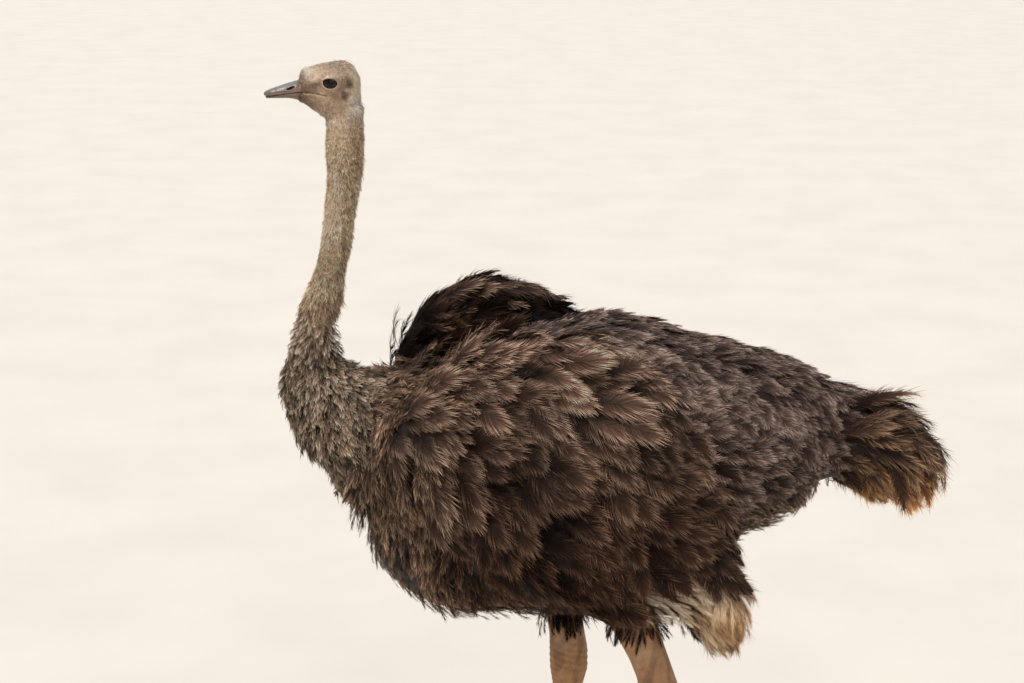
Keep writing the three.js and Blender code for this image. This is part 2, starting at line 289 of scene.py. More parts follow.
class Clay:
    """A block of voxels in which a form is kept as the distance to its surface, negative inside."""

    CLOSING = 0.6  # of a voxel, which bridges the hairline gaps between touching solids

    def __init__(self, low: Sequence[float], high: Sequence[float], voxel: float) -> None:
        """Lays out the block.

        Args:
            low: Lowest corner of the block.
            high: Highest corner of the block.
            voxel: Side of one voxel.
        """
        self.voxel = voxel
        self.start = np.floor(np.asarray(low) / voxel).astype(int)
        self.count = np.ceil(np.asarray(high) / voxel).astype(int) - self.start + 1
        self.transform = openvdb.createLinearTransform(voxelSize=voxel)

    def axes(self) -> tuple[Array, Array, Array]:
        """X, Y and Z of the voxels, shaped so that they combine to the whole block.

        Returns:
            The three axes.
        """
        found = []
        for axis in range(3):
            shape = [1, 1, 1]
            shape[axis] = -1
            ticks = (np.arange(self.count[axis]) + self.start[axis]) * self.voxel
            found.append(ticks.reshape(shape).astype(np.float32))
        return tuple(found)

    def form(self, solids: Iterable[Piece], reach: float) -> Array:
        """The distance to several touching solids taken as one body.

        Args:
            solids: Closed meshes.
            reach: Distance up to which the values are true.

        Returns:
            One distance for each voxel.
        """
        points, faces, first = [], [], 0
        for solid in solids:
            points.append(vertex_places(solid))
            faces.append(triangles_of(solid) + first)
            first += len(points[-1])
        gap = self.CLOSING * self.voxel
        rough = openvdb.FloatGrid.createLevelSetFromPolygons(
            np.concatenate(points).astype(np.float32),
            triangles=np.concatenate(faces).astype(np.uint32),
            transform=self.transform,
            halfWidth=3.0,
        )
        shell, quads = rough.convertToQuads(isovalue=gap)
        whole = openvdb.FloatGrid.createLevelSetFromPolygons(
            shell, quads=quads, transform=self.transform, halfWidth=reach / self.voxel + 2.0
        )
        values = np.empty(tuple(self.count), np.float32)
        whole.copyToArray(values, ijk=tuple(int(i) for i in self.start))
        return values + gap

    def blurred(self, values: Array, radius: float) -> Array:
        """The field after a soft blur of that radius along each axis.

        Args:
            values: The field.
            radius: Radius of the blur.

        Returns:
            The blurred field.
        """
        sigma = radius / self.voxel
        half = max(1, math.ceil(2.5 * sigma))
        taps = np.exp(-0.5 * (np.arange(-half, half + 1) / sigma) ** 2)
        taps /= taps.sum()
        for axis in range(3):
            margin = [(0, 0)] * 3
            margin[axis] = (half, half)
            padded = np.pad(values, margin, mode="edge")
            total = np.zeros_like(values)
            for place, tap in enumerate(taps):
                total += tap * np.take(padded, range(place, place + values.shape[axis]), axis=axis)
            values = total
        return values

    def cast(self, name: str, values: Array) -> Piece:
        """A mesh of the surface where the field is nought.

        Args:
            name: Name of the new object.
            values: The field.

        Returns:
            The mesh object.
        """
        grid = openvdb.FloatGrid(background=float(self.voxel * 4))
        grid.copyFromArray(values.astype(np.float32), ijk=tuple(int(i) for i in self.start))
        grid.transform = self.transform
        points, quads = grid.convertToQuads(isovalue=0.0)
        return new_object(name, points, quads)


# ---------------------------------------------------------------- materials
class Nodework:
    """A material's node tree, with short calls for the nodes that the finishes share."""

    def __init__(self, name: str) -> None:
        """Starts a material with its plain shader.

        Args:
            name: The material's name.
        """
        self.material = bpy.data.materials.new(name)
        self.material.use_nodes = True
        self.tree = self.material.node_tree
        self.shader = self.tree.nodes["Principled BSDF"]

    def add(self, kind: str, **inputs: object) -> bpy.types.Node:
        """A new node with some of its sockets set or linked, by socket name with _ for spaces.

        Args:
            kind: Blender's name of the node's kind.
            inputs: Values or sockets, by socket name.

        Returns:
            The node.
        """
        node = self.tree.nodes.new(kind)
        for name, value in inputs.items():
            self.feed(node.inputs[name.replace("_", " ")], value)
        return node

    def feed(self, socket: Socket, value: object) -> None:
        """Links the socket to another socket, or sets it to a value.

        Args:
            socket: The socket to feed.
            value: Another socket, or a plain value.
        """
        if isinstance(value, Socket):
            self.tree.links.new(value, socket)
        else:
            socket.default_value = value

    def place(self, stretch: Sequence[float] | None = None) -> Socket:
        """The place on the object in metres.

        Args:
            stretch: Factors on X, Y and Z.

        Returns:
            The place's socket.
        """
        place = self.add("ShaderNodeTexCoord").outputs["Object"]
        if stretch is None:
            return place
        return self.add("ShaderNodeMapping", Vector=place, Scale=tuple(stretch)).outputs["Vector"]

    def tint(self) -> Socket:
        """The colour painted on the vertices.

        Returns:
            The colour's socket.
        """
        node = self.tree.nodes.new("ShaderNodeAttribute")
        node.attribute_name = TINT
        return node.outputs["Color"]

    def noise(self, scale: float, detail: float = 3.0, stretch: Sequence[float] | None = None) -> Socket:
        """Noise of about 0 to 1 with that many swings to a metre.

        Args:
            scale: Swings to a metre.
            detail: Octaves.
            stretch: Factors on X, Y and Z of the place.

        Returns:
            The noise value's socket.
        """
        place = self.place(stretch)
        return self.add("ShaderNodeTexNoise", Vector=place, Scale=scale, Detail=detail).outputs["Fac"]

    def cells(self, scale: float) -> Socket:
        """Distance to the nearest cell border, for scaly skin.

        Args:
            scale: Cells to a metre.

        Returns:
            The distance's socket.
        """
        node = self.add("ShaderNodeTexVoronoi", Vector=self.place(), Scale=scale)
        node.feature = "DISTANCE_TO_EDGE"
        return node.outputs["Distance"]

    def between(self, value: object, low: float, high: float, to_low: float, to_high: float) -> Socket:
        """value, mapped from low..high to to_low..to_high and kept within it.

        Args:
            value: Another socket, or a plain value.
            low: Lowest value taken in.
            high: Highest value taken in.
            to_low: What the lowest becomes.
            to_high: What the highest becomes.

        Returns:
            The result's socket.
        """
        node = self.add(
            "ShaderNodeMapRange", Value=value, From_Min=low, From_Max=high, To_Min=to_low, To_Max=to_high
        )
        return node.outputs["Result"]

    def mottle(
        self, scale: float, detail: float, to_low: float, to_high: float, low: float = 0.3, high: float = 0.7
    ) -> Socket:
        """Noise between low and high, mapped to to_low..to_high."""
        return self.between(self.noise(scale, detail), low, high, to_low, to_high)

    def colour(self, value: object) -> None:
        """Feeds the shader's colour."""
        self.feed(self.shader.inputs["Base Color"], value)

    def rough(self, scale: float, detail: float, low: float, high: float) -> None:
        """Feeds the shader's roughness with noise between two values."""
        self.feed(self.shader.inputs["Roughness"], self.mottle(scale, detail, low, high))

    def math(self, operation: str, first: object, second: object) -> Socket:
        """Two values joined by an operation.

        Args:
            operation: Blender's name of the operation.
            first: The first value or colour.
            second: The second value or colour.

        Returns:
            The result's socket.
        """
        node = self.tree.nodes.new("ShaderNodeMath")
        node.operation = operation
        self.feed(node.inputs[0], first)
        self.feed(node.inputs[1], second)
        return node.outputs["Value"]

    def scaled(self, colour: object, factor: object) -> Socket:
        """The colour with its lightness multiplied by a factor.

        Args:
            colour: The colour.
            factor: What to multiply it by.

        Returns:
            The result's socket.
        """
        node = self.tree.nodes.new("ShaderNodeVectorMath")
        node.operation = "SCALE"
        self.feed(node.inputs[0], colour)
        self.feed(node.inputs["Scale"], factor)
        return node.outputs["Vector"]

    def blend(self, share: object, first: object, second: object) -> Socket:
        """Two colours mixed by a share.

        Args:
            share: How much of the second to take.
            first: The first value or colour.
            second: The second value or colour.

        Returns:
            The result's socket.
        """
        node = self.tree.nodes.new("ShaderNodeMix")
        node.data_type = "RGBA"
        self.feed(node.inputs["Factor"], share)
        self.feed(node.inputs["A"], first)
        self.feed(node.inputs["B"], second)
        return node.outputs["Result"]

    def raise_by(self, height: object, distance: float, strength: float = 1.0) -> None:
        """Bump of the shader's normal by a height map, on top of any bump already there.

        Args:
            height: The height map.
            distance: Height of a full step.
            strength: How strongly it is felt.
        """
        bump = self.add("ShaderNodeBump", Height=height, Distance=distance, Strength=strength)
        normal = self.shader.inputs["Normal"]
        if normal.is_linked:
            self.tree.links.new(normal.links[0].from_socket, bump.inputs["Normal"])
        self.tree.links.new(bump.outputs["Normal"], normal)

    def gloss(self, **values: float) -> None:
        """Sets uniform values on the shader's own sockets, by socket name with _ for spaces."""
        for name, value in values.items():
            self.shader.inputs[name.replace("_", " ")].default_value = value


def rgba(colour: Array) -> tuple[float, float, float, float]:
    """A colour socket's value."""
    return (float(colour[0]), float(colour[1]), float(colour[2]), 1.0)


@dataclass(frozen=True)
class FeatherFinish:
    """Barbs that keep their painted colour, with soft streaks, dust and a faint sheen."""

    name: str
    roughness: float = 0.62
    sheen: float = 0.015
    patches: float = 9.0
    streaks: float = 420.0
    dust: Array = dye(132, 112, 94)
    dust_share: float = 0.03

    def make(self) -> bpy.types.Material:
        """The finished material.

        Returns:
            The material.
        """
        work = Nodework(self.name)
        broad = work.mottle(self.patches, 4.0, 0.78, 1.2)
        fine = work.mottle(self.streaks, 2.0, 0.7, 1.3, 0.25, 0.75)
        colour = work.scaled(work.tint(), work.math("MULTIPLY", broad, fine))
        dusty = work.mottle(self.patches * 3.1, 5.0, 0.0, self.dust_share, 0.52, 0.72)
        work.colour(work.blend(dusty, colour, rgba(self.dust)))
        work.rough(self.patches * 6.0, 3.0, self.roughness - 0.1, self.roughness + 0.12)
        work.raise_by(work.noise(self.streaks * 2.2, 2.0), 0.0006, 0.5)
        work.gloss(Sheen_Weight=self.sheen, Sheen_Roughness=0.45, Specular_IOR_Level=0.07)
        return work.material


@dataclass(frozen=True)
class HideFinish:
    """Skin in its painted colour: pores, small scales and dry dust on the raised parts."""

    name: str
    roughness: float = 0.6
    scales: float = 260.0
    dust: Array = dye(190, 172, 150)

    def make(self) -> bpy.types.Material:
        """The finished material.

        Returns:
            The material.
        """
        work = Nodework(self.name)
        mottle = work.mottle(55.0, 5.0, 0.8, 1.2)
        colour = work.scaled(work.tint(), mottle)
        height = work.add("ShaderNodeSeparateXYZ", Vector=work.place()).outputs["Z"]
        bare = work.between(height, 0.72, 0.66, 0.0, 1.0)
        edges = work.cells(self.scales)
        groove = work.math("MULTIPLY", work.between(edges, 0.0, 0.12, 0.30, 0.0), bare)
        colour = work.scaled(colour, work.math("SUBTRACT", 1.0, groove))
        dusty = work.math("MULTIPLY", work.mottle(24.0, 5.0, 0.0, 0.35, 0.5, 0.75), bare)
        work.colour(work.blend(dusty, colour, rgba(self.dust)))
        work.rough(120.0, 3.0, self.roughness - 0.12, self.roughness + 0.12)
        work.raise_by(work.math("MULTIPLY", work.between(edges, 0.0, 0.3, 0.0, 1.0), bare), 0.0007, 0.9)
        work.raise_by(work.noise(900.0, 4.0), 0.0004, 0.5)
        work.gloss(Specular_IOR_Level=0.25)
        return work.material


@dataclass(frozen=True)
class HornFinish:
    """Worn horn in its painted colour, with growth streaks along the bird and fine scratches."""

    name: str
    roughness: float = 0.38
    coat: float = 0.15

    def make(self) -> bpy.types.Material:
        """The finished material.

        Returns:
            The material.
        """
        work = Nodework(self.name)
        streak = work.noise(160.0, 4.0, (3.0, 0.45, 3.0))
        colour = work.scaled(work.tint(), work.between(streak, 0.3, 0.7, 0.78, 1.2))
        stain = work.mottle(90.0, 5.0, 0.0, 0.4, 0.55, 0.75)
        colour = work.blend(stain, colour, rgba(srgb(96, 78, 62)))
        work.colour(colour)
        work.rough(300.0, 4.0, self.roughness - 0.1, self.roughness + 0.16)
        work.raise_by(streak, 0.0005, 0.5)
        work.raise_by(work.noise(1400.0, 3.0, (2.0, 0.5, 2.0)), 0.0002, 0.5)
        work.gloss(Coat_Weight=self.coat, Coat_Roughness=0.3)
        return work.material


@dataclass(frozen=True)
class EyeFinish:
    """A dark wet eyeball: painted pupil and iris, with threads in the iris."""

    name: str

    def make(self) -> bpy.types.Material:
        """The finished material.

        Returns:
            The material.
        """
        work = Nodework(self.name)
        threads = work.mottle(900.0, 4.0, 0.6, 1.5)
        work.colour(work.scaled(work.tint(), threads))
        work.rough(200.0, 2.0, 0.04, 0.09)
        work.raise_by(work.noise(250.0, 2.0), 0.00004, 0.3)
        work.gloss(Coat_Weight=0.12, Coat_Roughness=0.06, IOR=1.28)
        return work.material


@dataclass(frozen=True)
class FloorFinish:
    """A plain pale studio floor."""

    name: str = "studio_floor"
    colour: Array = dye(214, 208, 200)

    def make(self) -> bpy.types.Material:
        """The finished material.

        Returns:
            The material.
        """
        work = Nodework(self.name)
        soft = work.mottle(2.0, 3.0, 0.97, 1.03)
        tone = work.add("ShaderNodeRGB")
        tone.outputs[0].default_value = rgba(self.colour)
        work.colour(work.scaled(tone.outputs[0], soft))
        work.gloss(Roughness=0.85, Specular_IOR_Level=0.2)
        return work.material


# ---------------------------------------------------------------- colours of the bird
@dataclass(frozen=True)
class Palette:
    """The bird's colours, each named for where it grows."""

    down_pale: Array = dye(166, 137, 114)
    down_grey: Array = dye(150, 132, 116)
    ear_brown: Array = dye(72, 49, 40)
    cheek_grey: Array = dye(92, 73, 67)
    cheek_pale: Array = dye(226, 198, 166)
    forehead: Array = dye(222, 204, 180)
    lid: Array = dye(178, 158, 138)
    mouth_edge: Array = dye(200, 170, 128)
    mouth_dark: Array = dye(66, 46, 44)
    neck: Array = dye(150, 120, 94)
    # Painted shade: the body's skin under the coat is near black so that gaps between feathers read as
    # shadow.
    body_skin_painted_shade: Array = dye(26, 18, 14)
    leg: Array = dye(174, 131, 94)
    leg_shade: Array = dye(116, 86, 66)
    horn: Array = dye(102, 84, 69)
    horn_blue: Array = dye(92, 93, 94)
    horn_base: Array = dye(116, 91, 73)
    horn_edge: Array = dye(66, 50, 43)
    nostril: Array = dye(82, 44, 38)
    claw: Array = dye(84, 72, 62)
    claw_worn: Array = dye(128, 110, 92)
    pupil: Array = dye(4, 3, 3)
    iris: Array = dye(46, 25, 14)
    iris_rim: Array = dye(11, 6, 5)
    eye_white: Array = dye(30, 20, 17)
    lash: Array = dye(48, 36, 30)


PALETTE = Palette()


# ---------------------------------------------------------------- skin
@dataclass
class Eye:
    """Where the eyeball sits and how its lids open, seen from the side."""

    y: float = -0.576
    z: float = 1.7875
    depth: float = 0.0250
    radius: float = 0.0212
    open_half: float = 0.0144
    open_up: float = 0.0087
    open_down: float = 0.0108
    lid: float = 0.0016
    tilt: float = math.radians(-4.0)

    def local(self, y: Array, z: Array) -> tuple[Array, Array]:
        """Places beside the eye: back along the lids' line, and up square to it.

        Args:
            y: Y of the places.
            z: Z of the places.

        Returns:
            Back and up, in metres.
        """
        cos, sin = math.cos(self.tilt), math.sin(self.tilt)
        back, up = y - self.y, z - self.z
        return back * cos + up * sin, up * cos - back * sin

    def opening(self, y: Array, z: Array, grow: float = 0.0) -> Array:
        """Below nought inside the almond between the lids, above it outside, about in metres.

        Args:
            y: Places along the head.
            z: Heights.
            grow: How much wider to take it.

        Returns:
            One value for each place.
        """
        back, up = self.local(y, z)
        high = np.where(up > 0.0, self.open_up, self.open_down) + grow
        wide = self.open_half + grow
        ring = (np.abs(back) / wide) ** 2.0 + (np.abs(up) / high) ** 2.2
        return (np.sqrt(ring) - 1.0) * high


@dataclass
class Mouth:
    """The line of the closed bill and of the gape behind it, by its height along the head."""

    along: tuple[float, ...] = (-0.716, -0.700, -0.680, -0.660, -0.6375, -0.616, -0.605, -0.585)
    heights: tuple[float, ...] = (1.7580, 1.7588, 1.7612, 1.7645, 1.7672, 1.7668, 1.7650, 1.7612)
    end: float = -0.585

    def height(self, y: Array) -> Array:
        """The line's height at places along the head."""
        return np.interp(y, self.along, self.heights)


BILL_NODES = ("bill_upper", "bill_lower")


@dataclass
class Skin:
    """The one skin of neck, head, body and legs, which lies under the feathers."""

    nodes: Nodes
    eye: Eye = field(default_factory=Eye)
    mouth: Mouth = field(default_factory=Mouth)
    body_voxel: float = 0.011
    head_voxel: float = 0.0015
    leg_voxel: float = 0.0032
    head_triangles: int = 60_000
    neck_sink: tuple[float, float] = (1.335, 1.250)
    bare_inset: float = 0.0010

    DEPTHS = {
        "trunk": 0.028,
        "neck_base": 0.016,
        "tail": 0.046,
        "wing_left": 0.024,
        "wing_right": 0.013,
        "plumes_left": 0.026,
        "plumes_right": 0.026,
        "thigh_left": 0.024,
        "thigh_right": 0.024,
    }
    LEAN = {Side.LEFT: 0.34, Side.RIGHT: 0.13}
    LEG_NODES = ("shank", "ankle", "tarsus", "toe_main", "toe_outer")
    NECK_NODES = ("head", "neck_upper", "neck_middle", "neck_base")
    LORE = Spot(-0.612, 1.777, 0.011, 0.008, 0.0026)
    EAR = Spot(-0.541, 1.764, 0.0065, 0.008, 0.0035)
    CHEEK = Spot(-0.556, 1.742, 0.020, 0.011, 0.0024)
    BROW_LOW = Spot(-0.642, 1.812, 0.014, 0.014, 0.0034)
    NAPE_LOW = Spot(-0.523, 1.822, 0.014, 0.014, 0.0035)
    SHIN_PLATE = 0.0125  # spacing of the plates and folds
    TOE_PLATE = 0.0105
    JOINT_FOLD = 0.0145
    THROAT_FOLD = 0.0095
    COARSE_BELOW = 1.70  # height on the neck from which the mesh is thinned more and more

    def block(self, names: Iterable[str], voxel: float, margin: float) -> Clay:
        """Clay around some nodes.

        Args:
            names: Names of the nodes.
            voxel: Side of one voxel.
            margin: Room to leave round them.

        Returns:
            The empty block.
        """
        corners = [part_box(name) for name in names]
        low = np.min([c[0] for c in corners], axis=0) - margin
        high = np.max([c[1] for c in corners], axis=0) + margin
        return Clay(low, high, voxel)

    def body(self) -> Piece:
        """Trunk, wings, thighs and the base of the neck, inside the plumage by its depth.

        Returns:
            The closed mesh.
        """
        clay = self.block(self.DEPTHS, self.body_voxel, 0.04)
        reach, hold, fade = 0.10, -0.06, 0.018
        whole = clay.form([self.nodes[name] for name in self.DEPTHS], reach)
        share = np.zeros_like(whole)
        depth = np.zeros_like(whole)
        for name, inset in self.DEPTHS.items():
            weight = np.exp(-np.clip(clay.form([self.nodes[name]], reach), hold, reach) / fade)
            share += weight
            depth += weight * inset
        values = clay.blurred(whole + depth / share, 0.010)
        return clay.cast("skin_body", values)

    def head_and_neck(self) -> Piece:
        """Head with lids, gape and folds, and the neck down into its base.

        Returns:
            The closed mesh.
        """
        clay = self.block(("head", "neck_upper", "neck_middle"), self.head_voxel, 0.024)
        clay.start[2] = int(self.neck_sink[1] / self.head_voxel)
        clay.count[2] = int(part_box("head")[1][2] / self.head_voxel) + 6 - clay.start[2]
        values = clay.form([self.nodes[name] for name in (*self.NECK_NODES, *BILL_NODES)], 0.036)
        values = clay.blurred(values, 0.0022)
        x, y, z = clay.axes()
        head_inset = 0.0018 * step(z, 1.66, 1.72) * step(y, -0.640, -0.610)
        neck_inset = 0.0022 * step(z, 1.72, 1.66)
        sink = 0.026 * step(z, self.neck_sink[0], self.neck_sink[1])
        values = values + head_inset + neck_inset + sink
        values = self.folds(values, x, y, z)
        values = self.lids(values, x, y, z)
        values = np.maximum(values, self.neck_sink[1] + 0.004 - z)
        values = np.maximum(values, self.bill_edge(x, z) - y)
        piece = clay.cast("skin_head", values)
        thin = piece.modifiers.new("thin", "DECIMATE")
        thin.ratio = self.head_triangles / (2.0 * len(piece.data.polygons))
        group = piece.vertex_groups.new(name="coarse")
        heights = vertex_places(piece)[:, 2]
        for level in range(10):
            under = heights < self.COARSE_BELOW - 0.004 * level
            inside = np.nonzero(under & (heights >= self.COARSE_BELOW - 0.004 * (level + 1)))[0]
            group.add([int(i) for i in inside], 0.1 * (level + 1), "REPLACE")
        group.add([int(i) for i in np.nonzero(heights < 1.66)[0]], 1.0, "REPLACE")
        group.add([int(i) for i in np.nonzero(heights >= self.COARSE_BELOW)[0]], 0.12, "REPLACE")
        thin.vertex_group = "coarse"
        settle(piece)
        return piece

    def bill_edge(self, x: Array, z: Array) -> Array:
        """How far forward the skin reaches over the horn: furthest on the forehead and the jaw.

        Args:
            x: Places across the bird.
            z: Heights.

        Returns:
            Y of the skin's front edge.
        """
        forehead = -0.012 * step(z, 1.782, 1.792) + 0.5 * np.maximum(z - 1.800, 0.0)
        jaw = -0.014 * step(z, 1.756, 1.746)
        return -0.6375 + forehead + jaw + 0.15 * np.abs(x)

    def folds(self, values: Array, x: Array, y: Array, z: Array) -> Array:
        """Brow, cheek hollow, gape line, ear and the loose folds of the throat.

        Args:
            values: The field so far.
            x: X of the places.
            y: Y of the places.
            z: Z of the places.

        Returns:
            The field with them.
        """
        side = np.abs(x)
        back, up = self.eye.local(y, z)
        ring = np.sqrt((back / 1.25) ** 2 + up**2)
        brow = 0.0030 * bell(ring, 0.0200, 0.0042) * step(up, 0.002, 0.012)
        crease = 0.0020 * bell(ring, 0.0142, 0.0012) * step(up, -0.004, 0.006)
        bag = 0.0015 * bell(ring, 0.0175, 0.0018) * step(up, 0.002, -0.006)
        out = step(side, 0.008, 0.020)
        lore, ear, cheek = (place.over(y, z) for place in (self.LORE, self.EAR, self.CHEEK))
        values = values + out * (crease - brow - bag + lore + ear - cheek)
        values = values + self.BROW_LOW.over(y, z) + self.NAPE_LOW.over(y, z)
        line = z - self.mouth.height(y).astype(np.float32)
        near = step(y, self.mouth.end, self.mouth.end - 0.006)
        lip = 0.0011 * bell(line, -0.0030, 0.0016) * near
        roll = 0.0008 * bell(line, 0.0034, 0.0018) * near
        values = values - out * (lip + roll)
        slot = np.minimum(0.00075 - np.abs(line), values + 0.0024)
        slot = np.where((y < self.mouth.end) & (side > 0.006), slot, -1.0)
        values = np.maximum(values, slot)
        run = y + 0.65 * (z - 1.72)
        wrinkle = 0.0007 * np.sin(run * 2 * math.pi / self.THROAT_FOLD + 3.0 * np.sin(z * 90.0))
        throat = step(z, 1.745, 1.735) * step(z, 1.69, 1.71) * step(y, -0.565, -0.585)
        return values + wrinkle * throat

    def lids(self, values: Array, x: Array, y: Array, z: Array) -> Array:
        """Wraps a lid over each eyeball and opens it between its rims.

        Args:
            values: The field so far.
            x: X of the places.
            y: Y of the places.
            z: Z of the places.

        Returns:
            The field with them.
        """
        eye = self.eye
        side = np.abs(x)
        away = np.sqrt((side - eye.depth) ** 2 + (y - eye.y) ** 2 + (z - eye.z) ** 2)
        cap = away - (eye.radius + eye.lid)
        values = soft_union(values, np.maximum(cap, 0.010 - side), 0.0065)
        opening = eye.opening(y, z)
        rim = np.sqrt(np.maximum(opening - 0.0008, -0.004) ** 2 + (cap + 0.0004) ** 2) - 0.0015
        values = soft_union(values, np.where(side > eye.depth, rim, 1.0), 0.0016)
        hole = np.maximum(opening, eye.depth - side)
        values = np.maximum(values, -hole)
        return np.maximum(values, eye.radius + 0.0002 - away)

    def leg(self, side: Side) -> Piece:
        """One leg from inside the thigh to the toes, with scutes, pads and joint wrinkles.

        Args:
            side: The side of the bird.

        Returns:
            The closed mesh.
        """
        names = [f"{part}_{side}" for part in self.LEG_NODES]
        clay = self.block(names, self.leg_voxel, 0.008)
        bottom_thigh = float(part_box(f"thigh_{side}")[0][2])
        clay.count[2] = int((bottom_thigh + 0.10) / self.leg_voxel) - clay.start[2]
        values = clay.form([self.nodes[name] for name in names], 0.05)
        values = self.lengthened(values, clay, bottom_thigh - 0.006, self.LEAN[side])
        _, y, z = clay.axes()
        values = clay.blurred(values, 0.0030)
        smooth = clay.blurred(values, 0.0070)
        values = values + (smooth - values) * step(z, 0.125, 0.100) * step(z, 0.040, 0.055)
        values = values + self.bare_inset
        values = self.scutes(values, side, y, z)
        values = np.maximum(values, z - (bottom_thigh + 0.075))
        values = np.maximum(values, 0.0006 - z)
        return clay.cast(f"skin_leg_{side}", values)

    def lengthened(self, values: Array, clay: Clay, top: float, lean: float) -> Array:
        """Carries the section at the height top on upwards, moving forward by lean and thinning.

        Args:
            values: The field so far.
            clay: The block that holds the field.
            top: Height of the last section that is kept.
            lean: How far forward it moves for each metre up.

        Returns:
            The field with it.
        """
        last = int(top / clay.voxel) - clay.start[2]
        for layer in range(last + 1, values.shape[2]):
            rise = (layer - last) * clay.voxel
            shift = -int(round(lean * rise / clay.voxel))
            values[:, :, layer] = np.roll(values[:, :, last], shift, axis=1) + 0.12 * rise
        return values

    def scutes(self, values: Array, side: Side, y: Array, z: Array) -> Array:
        """Plates down the front of the tarsus and over the toes, and wrinkles at the joints.

        Args:
            values: The field so far.
            side: The side of the bird.
            y: Y of the places.
            z: Z of the places.

        Returns:
            The field with them.
        """
        ankle_low, ankle_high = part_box(f"ankle_{side}")
        tarsus_low, tarsus_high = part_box(f"tarsus_{side}")
        toe_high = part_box(f"toe_main_{side}")[1]
        span = max(float(tarsus_high[2] - tarsus_low[2]), 1e-3)
        down = (z - float(tarsus_low[2])) / span
        centre = float(tarsus_low[1]) + 0.027 + (float(tarsus_high[1] - tarsus_low[1]) - 0.054) * down
        front = step(y - centre, 0.004, -0.012)
        plate = np.abs(np.sin(z * math.pi / self.SHIN_PLATE)) ** 0.4 - 0.75
        shin_low, shin_high = float(tarsus_low[2]), float(tarsus_high[2])
        shin = step(z, shin_low, shin_low + 0.03) * step(z, shin_high + 0.02, shin_high - 0.02)
        values = values - 0.0026 * plate * front * shin
        bend = 0.5 * float(ankle_low[2] + ankle_high[2])
        ring = np.sin((z + 0.25 * (y - centre)) * 2 * math.pi / self.JOINT_FOLD)
        values = values + 0.0010 * ring * bell(z, bend, 0.034)
        over = np.abs(np.sin((y + 0.3 * z) * math.pi / self.TOE_PLATE)) ** 0.4 - 0.75
        toes = step(z, 0.016, 0.028) * step(y, float(toe_high[1]) - 0.045, float(toe_high[1]) - 0.075)
        foot = step(z, float(toe_high[2]) + 0.015, float(toe_high[2]) - 0.01)
        return values - 0.0022 * over * toes * foot

    def joined(self) -> Piece:
        """All of the skin as one closed mesh.

        Returns:
            The closed mesh.
        """
        skin = self.body()
        parts = [self.head_and_neck(), *(self.leg(side) for side in Side)]
        for part in parts:
            union = skin.modifiers.new(part.name, "BOOLEAN")
            union.operation = "UNION"
            union.solver = "MANIFOLD"
            union.object = part
        settle(skin)
        for part in parts:
            bpy.data.objects.remove(part)
        skin.name = "skin"
        return skin

    def colours(self, places: Array) -> Array:
        """The skin's own markings at each place.

        Args:
            places: Places, one to a row.

        Returns:
            Linear colours, one to a row.
        """
        rng = np.random.default_rng(11)
        y, z = places[:, 1], places[:, 2]
        # The body's skin is near black as painted shade for gaps in the coat; the neck's skin is its own
        # colour.
        colour = mix(PALETTE.body_skin_painted_shade, PALETTE.neck, step(z, 1.17, 1.32) * step(y, -0.43, -0.50))
        bare = np.maximum(step(z, 0.56, 0.50), step(z, 0.72, 0.66) * step(np.abs(places[:, 0]), 0.200, 0.175))
        colour = mix(colour, PALETTE.leg, bare)
        hollow = step(ripple(places, 0.05, rng), 0.1, 0.9)
        colour = mix(colour, PALETTE.leg_shade, 0.5 * hollow * bare)
        head = step(z, 1.64, 1.70)
        colour = mix(colour, PALETTE.down_pale, head)
        return HeadMarkings(self.eye, self.mouth).over(colour, places, head)

    def build(self) -> Piece:
        """The finished skin, riding on the body in place of every flesh node.

        Returns:
            The skin.
        """
        skin = self.joined()
        paint(skin, self.colours(vertex_places(skin)))
        skin.data.materials.clear()
        skin.data.materials.append(HideFinish("hide").make())
        flesh = [n for n in self.nodes if not n.startswith(("bill", "eye", "claw"))]
        hand_over(skin, flesh)
        return skin


